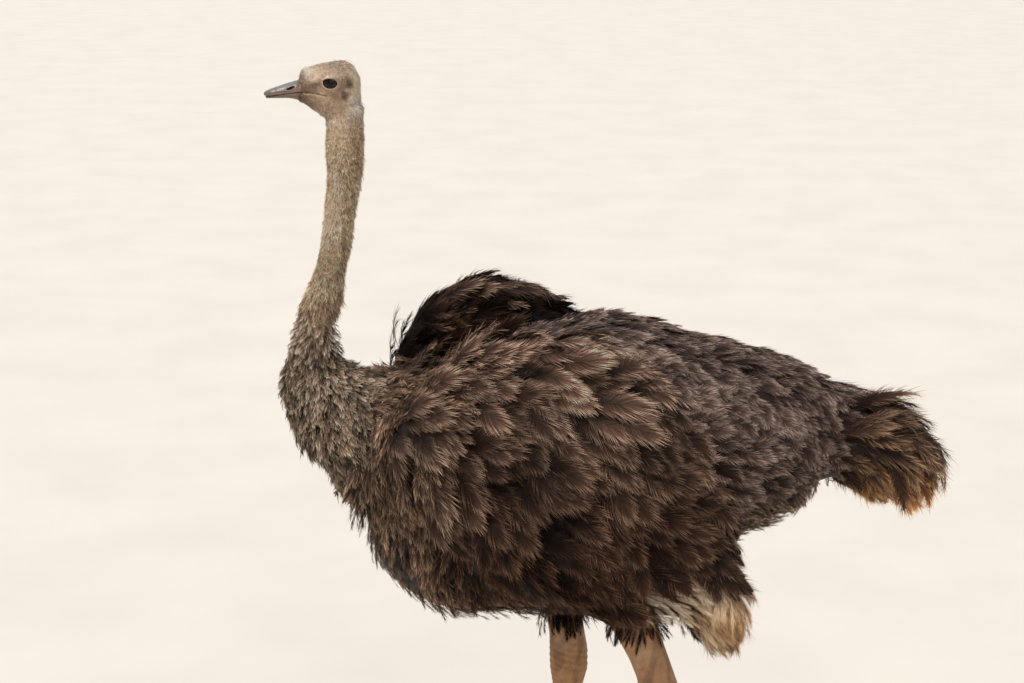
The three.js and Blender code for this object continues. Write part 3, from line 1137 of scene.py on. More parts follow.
@dataclass
class HeadMarkings:
    """The markings of the head, the same on the skin and on its down."""

    eye: Eye
    mouth: Mouth

    EAR_HIGH = Spot(-0.540, 1.786, 0.010, 0.013)
    EAR_LOW = Spot(-0.552, 1.762, 0.012, 0.008, 0.75)
    BEHIND_EYE = Spot(-0.551, 1.776, 0.007, 0.014, 0.55)
    BROW = Spot(-0.630, 1.808, 0.024, 0.011, 0.75)

    def over(self, colour: Array, places: Array, share: Array) -> Array:
        """The colours with the head's markings laid over them.

        Args:
            colour: Colours so far, one to a row.
            places: Where they are.
            share: How much each place belongs to the head.

        Returns:
            The new colours.
        """
        rng = np.random.default_rng(12)
        y, z = places[:, 1], places[:, 2]
        jitter = 0.003 * ripple(places, 0.02, rng)
        y, z = y + jitter, z - jitter
        rear = step(y, -0.556, -0.532) * step(z, 1.722, 1.742)
        colour = mix(colour, PALETTE.cheek_pale, share * 0.62 * rear)
        crown = step(z, 1.806, 1.820) * step(y, -0.556, -0.572)
        patchy = (0.45 + 0.35 * ripple(places, 0.012, rng)).clip(0, 1)
        colour = mix(colour, PALETTE.down_grey, share * crown * patchy)
        ear = np.maximum(self.EAR_HIGH.over(y, z), self.EAR_LOW.over(y, z))
        colour = mix(colour, PALETTE.ear_brown, share * np.clip(1.1 * ear, 0, 0.9))
        lore = np.exp(-(((y + 0.604) / 0.020) ** 2 + ((z - 1.783 - 0.25 * (y + 0.604)) / 0.0065) ** 2))
        colour = mix(colour, PALETTE.cheek_grey, share * np.maximum(0.85 * lore, self.BEHIND_EYE.over(y, z)))
        ridge = np.exp(-(((z - 1.7990 - 0.12 * (y + 0.590)) / 0.0030) ** 2)) * step(y, -0.632, -0.618)
        colour = mix(colour, PALETTE.forehead, share * 0.45 * ridge * step(y, -0.550, -0.562))
        colour = mix(colour, PALETTE.forehead, share * self.BROW.over(y, z))
        opening = self.eye.opening(y - jitter, z + jitter)
        rim = bell(opening, 0.0, 0.0024)
        colour = mix(colour, PALETTE.lid, share * rim)
        upper = bell(opening, 0.0004, 0.0011) * step(z, self.eye.z, self.eye.z + 0.006)
        colour = mix(colour, PALETTE.mouth_dark, share * 0.85 * upper)
        cere = step(y, -0.610, -0.632) * step(z, 1.794, 1.784)
        colour = mix(colour, PALETTE.horn_base, share * 0.75 * cere)
        line = z + jitter - self.mouth.height(y - jitter)
        front = step(y, self.mouth.end + 0.004, self.mouth.end - 0.004)
        band = bell(line, 0.0042, 0.0026) * step(y, -0.596, -0.618)
        colour = mix(colour, PALETTE.horn, share * 0.8 * band)
        pale = bell(line, -0.0030, 0.0018) * front * share
        colour = mix(colour, PALETTE.mouth_edge, 0.8 * pale)
        dark = bell(line, 0.0, 0.0014) * front * share
        return mix(colour, PALETTE.mouth_dark, 0.9 * dark)


@dataclass
class Markings:
    """Factors on the plumage's colour: its own darker, paler and browner zones, and painted shade and painted
    light where the body is shaded or lit.
    """

    head: HeadMarkings

    # The crease, shaded, far-wing and hem factors paint shade into the colour and the upper-wing factor
    # paints light; the vent, tan, tail-top and gold factors are the plumage's own colours.
    CREASE = ((-0.448, 1.060), (-0.530, 0.930))
    SHADED = np.array([0.42, 0.33, 0.28])
    PAINTED_SHADE_FAR_WING = np.array([0.15, 0.11, 0.09])
    PAINTED_LIGHT_UPPER_WING = np.array([1.80, 1.76, 1.80])
    VENT = np.array([1.35, 1.30, 1.25])
    TAN = np.array([0.84, 0.64, 0.45])
    PAINTED_SHADE_HEM = np.array([0.10, 0.07, 0.06])
    TAIL_TOP = np.array([0.52, 0.54, 0.64])
    GOLD = np.array([2.30, 1.80, 1.32])

    def body(self, places: Array) -> Array:
        """The factor on red, green and blue at each place: painted shade low on the flank, under the far wing
        and along a crease, painted light on top of the near wing, and the plumage's own colour at the vent
        and tail.

        Args:
            places: Places, one to a row.

        Returns:
            One row of factors for each place.
        """
        x, y, z = places.T
        one = np.ones((len(places), 3))
        # Painted shade: the low flank and wing are darkened by height, as if they were turned away from the
        # light above.
        low = step(z, 1.25, 0.88) * step(y, -0.40, -0.30) * step(y, 0.28, 0.04)
        found = mix(one, self.SHADED, low)
        # Painted light: the top of the near wing is lightened where the light falls on it.
        upper = step(z, 1.13, 1.24) * step(x, 0.05, 0.12) * step(y, 0.10, -0.05)
        found = found * mix(one, self.PAINTED_LIGHT_UPPER_WING, upper)
        # Painted shade: the inner face of the lifted far wing, below the lit line, is darkened.
        lit = np.interp(y, [-0.455, -0.389, -0.322, -0.234, -0.146], [1.225, 1.26, 1.29, 1.315, 1.31])
        far = step(x, -0.015, -0.060) * step(z - lit, 0.03, -0.03) * step(y, 0.00, -0.12)
        found = found * mix(one, self.PAINTED_SHADE_FAR_WING, far)
        found = found * mix(one, self.VENT, step(y, 0.26, 0.36) * step(z, 1.02, 0.92))
        found = found * mix(one, self.TAIL_TOP, step(y, 0.44, 0.50) * step(z, 1.00, 1.07))
        found = found * mix(one, self.GOLD, step(y, 0.47, 0.53) * step(z, 1.05, 0.97))
        # Painted shade: a dark band along the crease between breast and wing.
        (y0, z0), (y1, z1) = self.CREASE
        run = np.clip(((y - y0) * (y1 - y0) + (z - z0) * (z1 - z0)) / ((y1 - y0) ** 2 + (z1 - z0) ** 2), 0, 1)
        away = np.hypot(y - y0 - run * (y1 - y0), z - z0 - run * (z1 - z0))
        return found * (1.0 - 0.55 * bell(away, 0.0, 0.030))[:, None]

    def neck(self, places: Array) -> Array:
        """The factor for the down of head and neck: the head's markings, and a dark band behind.

        Args:
            places: Places, one to a row.

        Returns:
            One row of factors for each place.
        """
        x, y, z = places.T
        axis = np.interp(z, [1.25, 1.45, 1.56, 1.66, 1.75], [-0.612, -0.571, -0.560, -0.552, -0.548])
        behind = np.arctan2(np.abs(x), y - axis)
        band = bell(behind, 1.0, 0.42) * step(z, 1.76, 1.70)
        found = 1.32 * (1.0 - 0.24 * band) * (1.0 - 0.26 * step(z, 1.46, 1.35))
        found = found[:, None] * np.ones(3)
        base = np.tile(PALETTE.down_pale, (len(places), 1))
        found = mix(found, np.ones(3), step(z, 1.70, 1.74))
        return found * self.head.over(base, places, step(z, 1.66, 1.73)) / base

    def ruff(self, places: Array) -> Array:
        """The factor for the tufts at the base of the neck: paler towards the neck, times the body's factor
        with its painted shade and light.

        Args:
            places: Places, one to a row.

        Returns:
            One row of factors for each place.
        """
        z = places[:, 2]
        lightness = 0.72 + 0.50 * step(z, 1.04, 1.20) + 0.95 * step(z, 1.20, 1.36)
        return lightness[:, None] * self.body(places)

    def plume(self, places: Array) -> Array:
        """The factor for the pale plumes: white in front and tan behind, with painted shade at their front
        edge.

        Args:
            places: Places, one to a row.

        Returns:
            One row of factors for each place.
        """
        patchy = 0.03 * ripple(places, 0.045, np.random.default_rng(13))
        tan = step(places[:, 1] + patchy, 0.11, 0.19) * step(places[:, 2], 0.84, 0.76)
        tan = np.maximum(tan, 0.45 * step(places[:, 2], 0.76, 0.82))
        found = mix(np.ones((len(places), 3)), self.TAN, tan)
        # Painted shade: the front edge of the plumes is darkened.
        return found * mix(np.ones(3), self.PAINTED_SHADE_HEM, step(places[:, 1] + patchy, 0.050, 0.025))


# ---------------------------------------------------------------- bill, eyes and claws
@dataclass
class Bill:
    """The horn of the bill: both halves closed on each other, with nostrils and a nail."""

    nodes: Nodes
    mouth: Mouth
    voxel: float = 0.0010
    nostril: tuple[float, float, float] = (0.0165, -0.659, 1.7748)
    nostril_half: tuple[float, float, float] = (0.0065, 0.0095, 0.0024)
    nostril_rise: float = math.radians(20.0)
    nail: float = -0.694

    def build(self) -> Piece:
        """The finished bill in place of its two solids.

        Returns:
            The bill.
        """
        low = np.min([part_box(n)[0] for n in BILL_NODES], axis=0) - 0.006
        high = np.max([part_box(n)[1] for n in BILL_NODES], axis=0) + (0.006, 0.016, 0.012)
        clay = Clay(low, high, self.voxel)
        values = clay.blurred(clay.form([self.nodes[n] for n in (*BILL_NODES, "head")], 0.010), 0.0014)
        x, y, z = clay.axes()
        values = values + 0.0003 + 0.0050 * step(y, -0.650, -0.630)
        values = np.maximum(values, y - (float(high[1]) - 0.008))
        side = np.abs(x)
        line = z - self.mouth.height(y).astype(np.float32)
        lip = 0.0006 * bell(line, 0.0022, 0.0012)
        sill = 0.0004 * bell(line, -0.0022, 0.0012)
        values = values - lip - sill
        cut = np.minimum(0.00065 - np.abs(line), values + 0.0022)
        values = np.maximum(values, cut)
        values = self.nostrils(values, side, y, z)
        ridge_edge = np.abs(side - (0.0062 + 0.06 * (y - self.nail)))
        groove = 0.0009 * bell(ridge_edge, 0.0, 0.0012) * step(line, 0.004, 0.008)
        groove = groove * step(y, self.nail - 0.002, self.nail + 0.004)
        nail_edge = np.abs(y - (self.nail + 0.25 * side))
        groove = groove + 0.0007 * bell(nail_edge, 0.0, 0.0011) * step(line, 0.0005, 0.002)
        piece = clay.cast("bill", values + groove)
        places = vertex_places(piece)
        paint(piece, self.colours(places))
        piece.data.materials.append(HornFinish("bill_horn").make())
        hand_over(piece, BILL_NODES)
        return piece

    def nostrils(self, values: Array, side: Array, y: Array, z: Array) -> Array:
        """Opens a slanting slit with a raised rim in each side of the upper half.

        Args:
            values: The field so far.
            side: Distances from the middle plane.
            y: Y of the places.
            z: Z of the places.

        Returns:
            The field with them.
        """
        cos, sin = math.cos(self.nostril_rise), math.sin(self.nostril_rise)
        across = side - self.nostril[0]
        along = (y - self.nostril[1]) * cos + (z - self.nostril[2]) * sin
        up = (z - self.nostril[2]) * cos - (y - self.nostril[1]) * sin
        deep, half, high = self.nostril_half
        size = np.sqrt((across / deep) ** 2 + (along / half) ** 2 + (up / high) ** 2)
        hole = (size - 1.0) * high
        rim = 0.0007 * bell(hole, 0.0014, 0.0010)
        return np.maximum(values - rim, -hole)

    def colours(self, places: Array) -> Array:
        """Grey horn, bluish on top, brown at the base and dark along the edges.

        Args:
            places: Places, one to a row.

        Returns:
            Linear colours, one to a row.
        """
        rng = np.random.default_rng(21)
        x, y, z = places.T
        line = z - self.mouth.height(y)
        colour = mix(PALETTE.horn, PALETTE.horn_blue, 0.8 * step(line, 0.004, 0.014))
        base = step(y + 0.004 * ripple(places, 0.012, rng), -0.676, -0.650) * step(line, 0.020, 0.010)
        colour = mix(colour, PALETTE.horn_base, 0.85 * base)
        edge = bell(line, 0.0, 0.0016)
        colour = mix(colour, PALETTE.horn_edge, edge)
        colour = mix(colour, PALETTE.horn_base, 0.5 * step(line, -0.002, -0.006))
        tip = step(y, -0.700, -0.712)
        colour = mix(colour, PALETTE.horn_blue, 0.7 * tip)
        behind = y - self.nostril[1]
        away = np.hypot(behind / 0.011, (z - self.nostril[2] - 0.36 * behind) / 0.0030)
        sunk = np.exp(-(away**2)) * step(np.abs(x), 0.006, 0.009)
        return mix(colour, PALETTE.nostril, 0.9 * sunk)


@dataclass
class Eyes:
    """Both eyeballs, each with a clear bulge over its iris, and the bristly lashes above them."""

    eye: Eye
    rings: int = 40
    segments: int = 56
    iris: float = math.radians(40.0)
    pupil: float = math.radians(19.0)
    bulge: float = 0.0011
    lashes: int = 34

    def ball(self, side: Side) -> Piece:
        """One eyeball in place of its solid.

        Args:
            side: The side of the bird.

        Returns:
            The eyeball.
        """
        sign, eye = side.sign, self.eye
        polar = np.linspace(0.0, math.pi, self.rings + 1)[1:-1]
        turn = np.linspace(0.0, 2 * math.pi, self.segments, endpoint=False)
        grid_polar, grid_turn = (g.ravel() for g in np.meshgrid(polar, turn, indexing="ij"))
        grid_polar = np.concatenate([grid_polar, [0.0, math.pi]])
        grid_turn = np.concatenate([grid_turn, [0.0, 0.0]])
        radius = eye.radius - 0.0004 + self.bulge * step(grid_polar, self.iris * 1.1, 0.0)
        out = radius * np.cos(grid_polar)
        wide = radius * np.sin(grid_polar)
        look = np.stack([sign * out, wide * np.cos(grid_turn), wide * np.sin(grid_turn)], axis=1)
        places = look + np.array([sign * eye.depth, eye.y, eye.z])
        faces = []
        count = self.segments
        for ring in range(self.rings - 2):
            for k in range(count):
                a, b = ring * count + k, ring * count + (k + 1) % count
                faces += [(a, b, b + count), (a, b + count, a + count)]
        first, last = len(places) - 2, len(places) - 1
        base = (self.rings - 2) * count
        for k in range(count):
            faces += [(first, (k + 1) % count, k), (last, base + k, base + (k + 1) % count)]
        triangles = np.array(faces)[:, ::-1 if sign > 0 else 1]
        piece = new_object(f"eyeball_{side}", places, triangles)
        colour = mix(PALETTE.pupil, PALETTE.iris, step(grid_polar, self.pupil, self.pupil * 1.12))
        colour = mix(colour, PALETTE.iris_rim, step(grid_polar, self.iris * 0.86, self.iris))
        colour = mix(colour, PALETTE.eye_white, step(grid_polar, self.iris * 1.25, self.iris * 1.6))
        paint(piece, colour)
        piece.data.materials.append(EyeFinish(f"wet_eye_{side}").make())
        hand_over(piece, (f"eye_{side}",))
        return piece

    def lash_row(self) -> Piece:
        """Bristles along both upper lids, as thin three-sided spikes.

        Returns:
            The lashes.
        """
        rng = np.random.default_rng(31)
        eye, points, faces = self.eye, [], []
        for sign in (side.sign for side in Side):
            for back in np.linspace(-0.90, 0.94, self.lashes):
                y = back * eye.open_half
                z = eye.open_up * (1.0 - abs(back) ** 2.0) ** 0.5 + 0.0006
                x = eye.depth + math.sqrt(max((eye.radius + 0.0012) ** 2 - y * y - z * z, 1e-8))
                root = np.array([sign * x, eye.y + y, eye.z + z])
                length = rng.uniform(0.0045, 0.0085) * (0.65 + 0.35 * (1.0 - abs(back)))
                rearward = 0.9 * back + rng.normal(0, 0.15)
                aim = unit(np.array([sign * 0.75, rearward, 0.25 + rng.normal(0, 0.12)]))
                middle = root + aim * length * 0.5
                tip = root + aim * length + UP * length * 0.30
                start = len(points)
                for centre, thick in ((root, 0.00030), (middle, 0.00022)):
                    for k in range(3):
                        angle = 2 * math.pi * k / 3
                        points.append(centre + thick * np.array([0.0, math.cos(angle), math.sin(angle)]))
                points.append(tip)
                for k in range(3):
                    a, b = start + k, start + (k + 1) % 3
                    faces += [(a, b, b + 3), (a, b + 3, a + 3), (a + 3, b + 3, start + 6)]
                faces.append((start + 2, start + 1, start))
        piece = new_object("lashes", np.array(points), np.array(faces))
        paint(piece, np.tile(PALETTE.lash, (len(points), 1)))
        piece.data.materials.append(FeatherFinish("lash", dust_share=0.0).make())
        hand_over(piece)
        return piece

    def build(self) -> None:
        """Both eyeballs and their lashes."""
        for side in Side:
            self.ball(side)
        self.lash_row()


@dataclass
class Claws:
    """The broad blunt claw on the inner toe of each foot."""

    nodes: Nodes
    voxel: float = 0.0011

    def build(self) -> None:
        """Both claws, in place of their solids."""
        for side in Side:
            name = f"claw_{side}"
            low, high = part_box(name)
            clay = Clay(np.array(low) - 0.004, np.array(high) + 0.004, self.voxel)
            values = clay.blurred(clay.form([self.nodes[name]], 0.008), 0.0012)
            _, y, z = clay.axes()
            ring = 0.00035 * np.sin((y + 0.5 * z) * 2 * math.pi / 0.0042)
            piece = clay.cast(f"claw_horn_{side}", values + ring)
            places = vertex_places(piece)
            share = step(places[:, 1], float(low[1]) + 0.012, float(low[1]))
            paint(piece, mix(PALETTE.claw, PALETTE.claw_worn, share))
            piece.data.materials.append(HornFinish(f"claw_horn_{side}", roughness=0.45).make())
            hand_over(piece, (name,))


# ---------------------------------------------------------------- one feather
@dataclass(frozen=True)
class Vane:
    """The make of a feather as a share of its length: a shaft, a thin blade and loose barbs."""

    barbs: int = 42
    half: float = 0.38
    shaft: float = 0.68
    angle_root: float = 60.0
    angle_tip: float = 8.0
    barb_width: float = 0.0115
    clump: float = 4.0
    frizz: float = 0.05
    cup: float = 0.16
    stem: float = 0.0075
    bare: float = 0.04
    blade: float = 0.66
    stations: int = 6

    def outline(self, along: Array) -> Array:
        """Length of a barb that leaves the shaft at along, as a share of the feather's length."""
        swell = 0.50 + 0.50 * step(along, -0.05, 0.30)
        return self.half * swell * (1.0 - 0.14 * step(along, 0.45, self.shaft))

    def turn(self, along: Array) -> Array:
        """Angle between the shaft and a barb that leaves it at along, in radians."""
        return np.radians(self.angle_root + (self.angle_tip - self.angle_root) * (along / self.shaft) ** 2.4)

    def template(self, rng: np.random.Generator) -> "Template":
        """One feather of unit length in its own plane, with chance in every barb.

        Args:
            rng: Source of chance.

        Returns:
            The finished template.
        """
        shape = Draft()
        for sign in (-1.0, 1.0):
            leave = self.bare + (self.shaft - self.bare) * np.linspace(0.0, 1.0, self.barbs) ** 0.75
            leave += rng.normal(0, 0.003, self.barbs)
            drift = np.cumsum(rng.normal(0, 1.0, self.barbs))
            drift -= np.convolve(drift, np.ones(9) / 9, mode="same")
            phase = (np.arange(self.barbs) / self.clump + rng.uniform(0, 1)) % 1.0
            angle = self.turn(leave) + (0.5 - phase) * math.radians(13.0) + np.radians(2.2) * drift
            length = self.outline(leave) * rng.uniform(0.84, 1.10, self.barbs)
            lift = rng.normal(0, self.frizz, self.barbs)
            for place, turn, long, out in zip(leave, angle, length, lift, strict=True):
                share = long / self.half
                root = np.array([0.0, place, 0.0])
                aim = np.array([sign * math.sin(turn), math.cos(turn), 0.0])
                bent = np.array([sign * math.sin(turn * 0.6), math.cos(turn * 0.6), 0.0])
                middle = root + aim * long * 0.5
                tip = middle + bent * long * 0.52
                middle[2] = 0.3 * out * share - 0.3 * self.cup * abs(middle[0])
                tip[2] = out * share - self.cup * abs(tip[0])
                across = np.array([aim[1], -aim[0], rng.normal(0, 0.35)]) * 0.5 * self.barb_width
                shape.ribbon(root, middle, tip, across, rng.uniform(0.60, 1.35))
        self.add_blade(shape)
        for k in range(self.stations + 1):
            place = self.shaft * k / self.stations
            half = self.stem * (1.0 - 0.75 * k / self.stations)
            shape.row([(-half, place, 0.005), (half, place, 0.005)], 1.3, 0.15, k > 0)
        return shape.finished()

    def add_blade(self, shape: "Draft") -> None:
        """The close inner part of the vane, one thin sheet under the barbs.

        Args:
            shape: The draft to add to.
        """
        if self.blade <= 0.0:
            return
        for k in range(self.stations + 1):
            leave = self.shaft * (0.06 + 0.94 * k / self.stations)
            turn, long = float(self.turn(leave)), float(self.outline(leave)) * self.blade
            wide = long * math.sin(turn * 0.9)
            place = leave + long * math.cos(turn * 0.9)
            row = [(-wide, place, -0.006 - self.cup * wide), (0.0, leave + long * 0.8, -0.003)]
            row.append((wide, place, -0.006 - self.cup * wide))
            shape.row(row, 0.78, 0.35, k > 0)


class Draft:
    """A template while it is being drawn: points, faces, lightness and reach from the shaft."""

    def __init__(self) -> None:
        """An empty draft."""
        self.points: list[Array] = []
        self.faces: list[tuple[int, int, int]] = []
        self.shade: list[float] = []
        self.reach: list[float] = []

    def ribbon(self, root: Array, middle: Array, tip: Array, across: Array, tone: float) -> None:
        """One barb of two stretches that ends in a point.

        Args:
            root: Where it starts.
            middle: Where it bends.
            tip: Where it ends.
            across: Half its width, as a vector.
            tone: Its lightness.
        """
        a = len(self.points)
        self.points += [root - across, root + across, middle - across * 0.85, middle + across * 0.85, tip]
        self.faces += [(a, a + 1, a + 3), (a, a + 3, a + 2), (a + 2, a + 3, a + 4)]
        self.shade += [tone * 0.85, tone * 0.85, tone, tone, tone * 1.1]
        self.reach += [0.0, 0.0, 0.5, 0.5, 1.0]

    def spike(self, root: Array, tip: Array, across: Array, tone: float) -> None:
        """One short hair as a single pointed sliver.

        Args:
            root: Where it starts.
            tip: Where it ends.
            across: Half its width, as a vector.
            tone: Its lightness.
        """
        first = len(self.points)
        self.points += [root - across, root + across, tip]
        self.faces.append((first, first + 1, first + 2))
        self.shade += [tone * 0.85, tone * 0.85, tone * 1.1]
        self.reach += [0.0, 0.0, 1.0]

    def row(self, places: Sequence[Sequence[float]], tone: float, reach: float, joined: bool) -> None:
        """A row of points across a strip, joined by faces to the row before it.

        Args:
            places: The row's points.
            tone: Its lightness.
            reach: How far along a barb it counts as.
            joined: Whether faces join it to the row before.
        """
        first, count = len(self.points), len(places)
        self.points += [np.array(place) for place in places]
        self.shade += [tone] * count
        self.reach += [reach] * count
        for k in range(count - 1 if joined else 0):
            a, b = first - count + k, first + k
            self.faces += [(a, a + 1, b + 1), (a, b + 1, b)]

    def finished(self) -> "Template":
        """The draft as arrays."""
        return Template(*(np.array(rows) for rows in (self.points, self.faces, self.shade, self.reach)))


@dataclass(frozen=True)
class Wisp:
    """A tuft of down or short hairs that leave nearly one root and spread."""

    hairs: int = 12
    spread: float = 24.0
    thick: float = 0.07
    bed: float = 0.30

    def template(self, rng: np.random.Generator) -> "Template":
        """One tuft of unit length, with chance in every hair.

        Args:
            rng: Source of chance.

        Returns:
            The finished template.
        """
        shape = Draft()
        for _ in range(self.hairs):
            turn = math.radians(rng.normal(0, self.spread * 0.5))
            root = np.array([rng.normal(0, self.bed), rng.normal(0.0, self.bed), 0.0])
            aim = np.array([math.sin(turn), math.cos(turn), rng.normal(0.0, 0.12)])
            across = np.array([aim[1], -aim[0], rng.normal(0, 0.7)]) * 0.5 * self.thick
            shape.spike(root, root + aim * rng.uniform(0.55, 1.0), across, rng.uniform(0.72, 1.28))
        return shape.finished()


@dataclass(frozen=True)
class Template:
    """A feather or tuft of unit length: X across, Y along and Z out of the body."""

    points: Array
    faces: Array
    shade: Array
    reach: Array


# ---------------------------------------------------------------- the lie of the coat
SHOULDER = np.array([0.0, -0.560, 1.190])


def lie_from_shoulder(places: Array) -> Array:
    """Wing feathers: fanned from the shoulder, then swept down and back.

    Args:
        places: Places, one to a row.

    Returns:
        Unit vectors along the feathers.
    """
    away = places - SHOULDER
    away[:, 0] = 0.0
    near = np.linalg.norm(away, axis=1)
    sweep = np.array([0.0, 0.55, -0.62])
    high = step(places[:, 2] - 0.14 * (places[:, 1] + 0.2), 1.12, 1.30)
    sweep = mix(np.tile(sweep, (len(places), 1)), np.array([0.0, 0.95, -0.10]), high)
    return unit(mix(unit(away), sweep, 0.25 + 0.55 * step(near, 0.18, 0.60)))


def lie_back(places: Array) -> Array:
    """Back and rump feathers: towards the tail, lower on the flanks and the rump."""
    down = 0.10 + 0.60 * step(places[:, 1], 0.05, 0.50) + 0.50 * step(places[:, 2], 1.10, 0.80)
    return unit(np.stack([0 * down, np.ones(len(places)), -down], axis=1))


def lie_breast(places: Array) -> Array:
    """Breast and belly strands: straight down, then back under the body."""
    under = step(places[:, 2], 0.80, 0.62)
    return unit(np.stack([0 * under, 0.10 + 0.75 * under, -1.0 + 0.25 * under], axis=1))


def lie_neck_base(places: Array) -> Array:
    """Tufts of the base of the neck: down in front, and back towards the shoulders behind."""
    rear = step(places[:, 1], -0.56, -0.46) * step(places[:, 2], 1.30, 1.18)
    return unit(np.stack([0 * rear, 0.16 + 0.95 * rear, -1.0 + 0.75 * rear], axis=1))


def lie_neck(places: Array) -> Array:
    """Down of the neck: straight down."""
    zero = np.zeros(len(places))
    return unit(np.stack([zero, zero + 0.10, zero - 1.0], axis=1))


def lie_head(places: Array) -> Array:
    """Down of the head: back from the bill, and down behind the cheeks.

    Args:
        places: Places, one to a row.

    Returns:
        Unit vectors along the feathers.
    """
    rear = step(places[:, 1], -0.585, -0.525)
    low = step(places[:, 2], 1.752, 1.72)
    front = step(places[:, 1], -0.622, -0.640) * step(places[:, 2], 1.790, 1.802)
    fall = np.maximum(rear * 0.8 * step(places[:, 2], 1.826, 1.812), low * 0.8)
    return unit(np.stack([0 * fall, 1.05 - 0.8 * low, -0.12 - 1.1 * fall + 0.8 * front], axis=1))


def lie_tail(places: Array) -> Array:
    """Tail plumes: back, and falling towards the tip.

    Args:
        places: Places, one to a row.

    Returns:
        Unit vectors along the feathers.
    """
    drop = 0.28 + 1.00 * step(places[:, 1], 0.46, 0.66)
    under = step(places[:, 2], 1.02, 0.94) * step(places[:, 1], 0.34, 0.42)
    return unit(np.stack([0 * drop, 1.0 - 0.72 * under, -drop - 0.8 * under], axis=1))


def lie_plume(places: Array) -> Array:
    """Hanging plumes below the wings: swept back in front, and straight down at the hind end."""
    hind = step(places[:, 1], 0.13, 0.20)
    return unit(np.stack([0 * hind, 0.85 - 0.53 * hind, -0.62 - 0.34 * hind], axis=1))


def lie_leg(places: Array) -> Array:
    """Short feathers of the thighs: down."""
    zero = np.zeros(len(places))
    return unit(np.stack([zero, zero + 0.12, zero - 1.0], axis=1))


# ---------------------------------------------------------------- the coat
@dataclass(frozen=True)
class Shades:
    """A feather's colours from its root to its tip, and how much they vary."""

    root: Array
    middle: Array
    tip: Array
    vary: float = 0.20
    tip_from: float = 0.62
    root_to: float = 0.60

    def along(self, share: Array) -> Array:
        """The colour at each share of the way from root to tip."""
        low = mix(self.root, self.middle, step(share, 0.05, self.root_to))
        return low + (self.tip - low) * step(share, self.tip_from, 1.0)[..., None]


@dataclass(frozen=True)
class Growth:
    """One kind of plumage: where it grows, how dense and long it is, and how it lies."""

    name: str
    nodes: tuple[str, ...]
    lie: Callable[[Array], Array]
    make: Vane | Wisp
    shades: Shades
    spacing: float
    length: tuple[float, float]
    lift: float
    cling: float = 0.85
    droop: float = 0.0
    wander: float = 22.0
    scatter: float = 9.0
    roll: float = 14.0
    ruffle: float = 0.5
    marks: Callable[[Markings, Array], Array] = Markings.body
    keep: Callable[[Array, Array], Array] | None = None
    stretch: Callable[[Array], Array] | None = None
    slot: str = "plumage"
    variants: int = 10
    finish: FeatherFinish = FeatherFinish("feather")
    seed: int = 1
    parts: int = 1


@dataclass
class Ground:
    """The skin as ground for feathers: places to root in and a surface to lie along."""

    nodes: Nodes
    skin: Piece

    TRIES = 8.0  # for each feather that there is room for
    MARGIN = 0.03
    STRAY = 0.4  # of the spacing, by which the border between two kinds is blurred
    OUT = 0.015  # from the skin to where the nearest solid is asked for

    def __post_init__(self) -> None:
        """Reads the skin's triangles and sorts them under the nearest solid."""
        self.points = vertex_places(self.skin)
        self.normals = vertex_normals(self.skin)
        self.faces = triangles_of(self.skin)
        self.tree = BVHTree.FromPolygons(self.points.tolist(), self.faces.tolist())
        corners = self.points[self.faces]
        square = np.cross(corners[:, 1] - corners[:, 0], corners[:, 2] - corners[:, 0])
        self.area = 0.5 * np.linalg.norm(square, axis=1)
        self.labels = sorted(n for n in self.nodes if not n.startswith(("bill", "eye", "claw")))
        faces, points, owner, first = [], [], [], 0
        for number, name in enumerate(self.labels):
            solid = self.nodes[name]
            points.append(vertex_places(solid))
            faces.append(triangles_of(solid) + first)
            owner += [number] * len(faces[-1])
            first += len(points[-1])
        self.owner = np.array(owner)
        self.solids = BVHTree.FromPolygons(np.concatenate(points).tolist(), np.concatenate(faces).tolist())

    def rooted(self, growth: Growth, rng: np.random.Generator) -> tuple[Array, Array]:
        """Roots for one kind of plumage, about its spacing apart, with the skin's normals there.

        Args:
            growth: The plumage.
            rng: Source of chance.

        Returns:
            Places and normals, one to a row.
        """
        low = np.min([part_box(n)[0] for n in growth.nodes], axis=0) - self.MARGIN
        high = np.max([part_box(n)[1] for n in growth.nodes], axis=0) + self.MARGIN
        centre = self.points[self.faces].mean(axis=1)
        near = np.all((centre > low) & (centre < high), axis=1)
        numbers = np.nonzero(near)[0]
        area = self.area[numbers]
        tries = int(self.TRIES * area.sum() / growth.spacing**2)
        chosen = numbers[rng.choice(len(numbers), size=tries, p=area / area.sum())]
        a, b = np.sqrt(rng.random(tries)), rng.random(tries)
        weight = np.stack([1 - a, a * (1 - b), a * b], axis=1)
        places = np.einsum("nk,nkd->nd", weight, self.points[self.faces[chosen]])
        normals = unit(np.einsum("nk,nkd->nd", weight, self.normals[self.faces[chosen]]))
        cell = np.floor(places / growth.spacing).astype(np.int64)
        key = (cell[:, 0] * 73856093) ^ (cell[:, 1] * 19349663) ^ (cell[:, 2] * 83492791)
        _, first = np.unique(key, return_index=True)
        places, normals = places[first], normals[first]
        blur = rng.normal(0, self.STRAY * growth.spacing, places.shape)
        wanted = {self.labels.index(n) for n in growth.nodes}
        keep = np.zeros(len(places), bool)
        for row, place in enumerate(places + blur + normals * self.OUT):
            keep[row] = self.owner[self.solids.find_nearest(Vector(place))[2]] in wanted
        if growth.keep is not None:
            keep &= growth.keep(places + blur, normals)
        return places[keep], normals[keep]

    def onto(self, places: Array) -> tuple[Array, Array]:
        """The nearest places on the skin and the normals there.

        Args:
            places: Places, one to a row.

        Returns:
            Places and normals, one to a row.
        """
        found, normals = np.empty_like(places), np.empty_like(places)
        for row, place in enumerate(places):
            spot, normal, _, _ = self.tree.find_nearest(Vector(place))
            found[row], normals[row] = spot, normal
        return found, normals


def flat_to(vectors: Array, normals: Array) -> Array:
    """The vectors laid into the plane square to the normals."""
    return unit(vectors - normals * np.sum(vectors * normals, axis=1, keepdims=True))


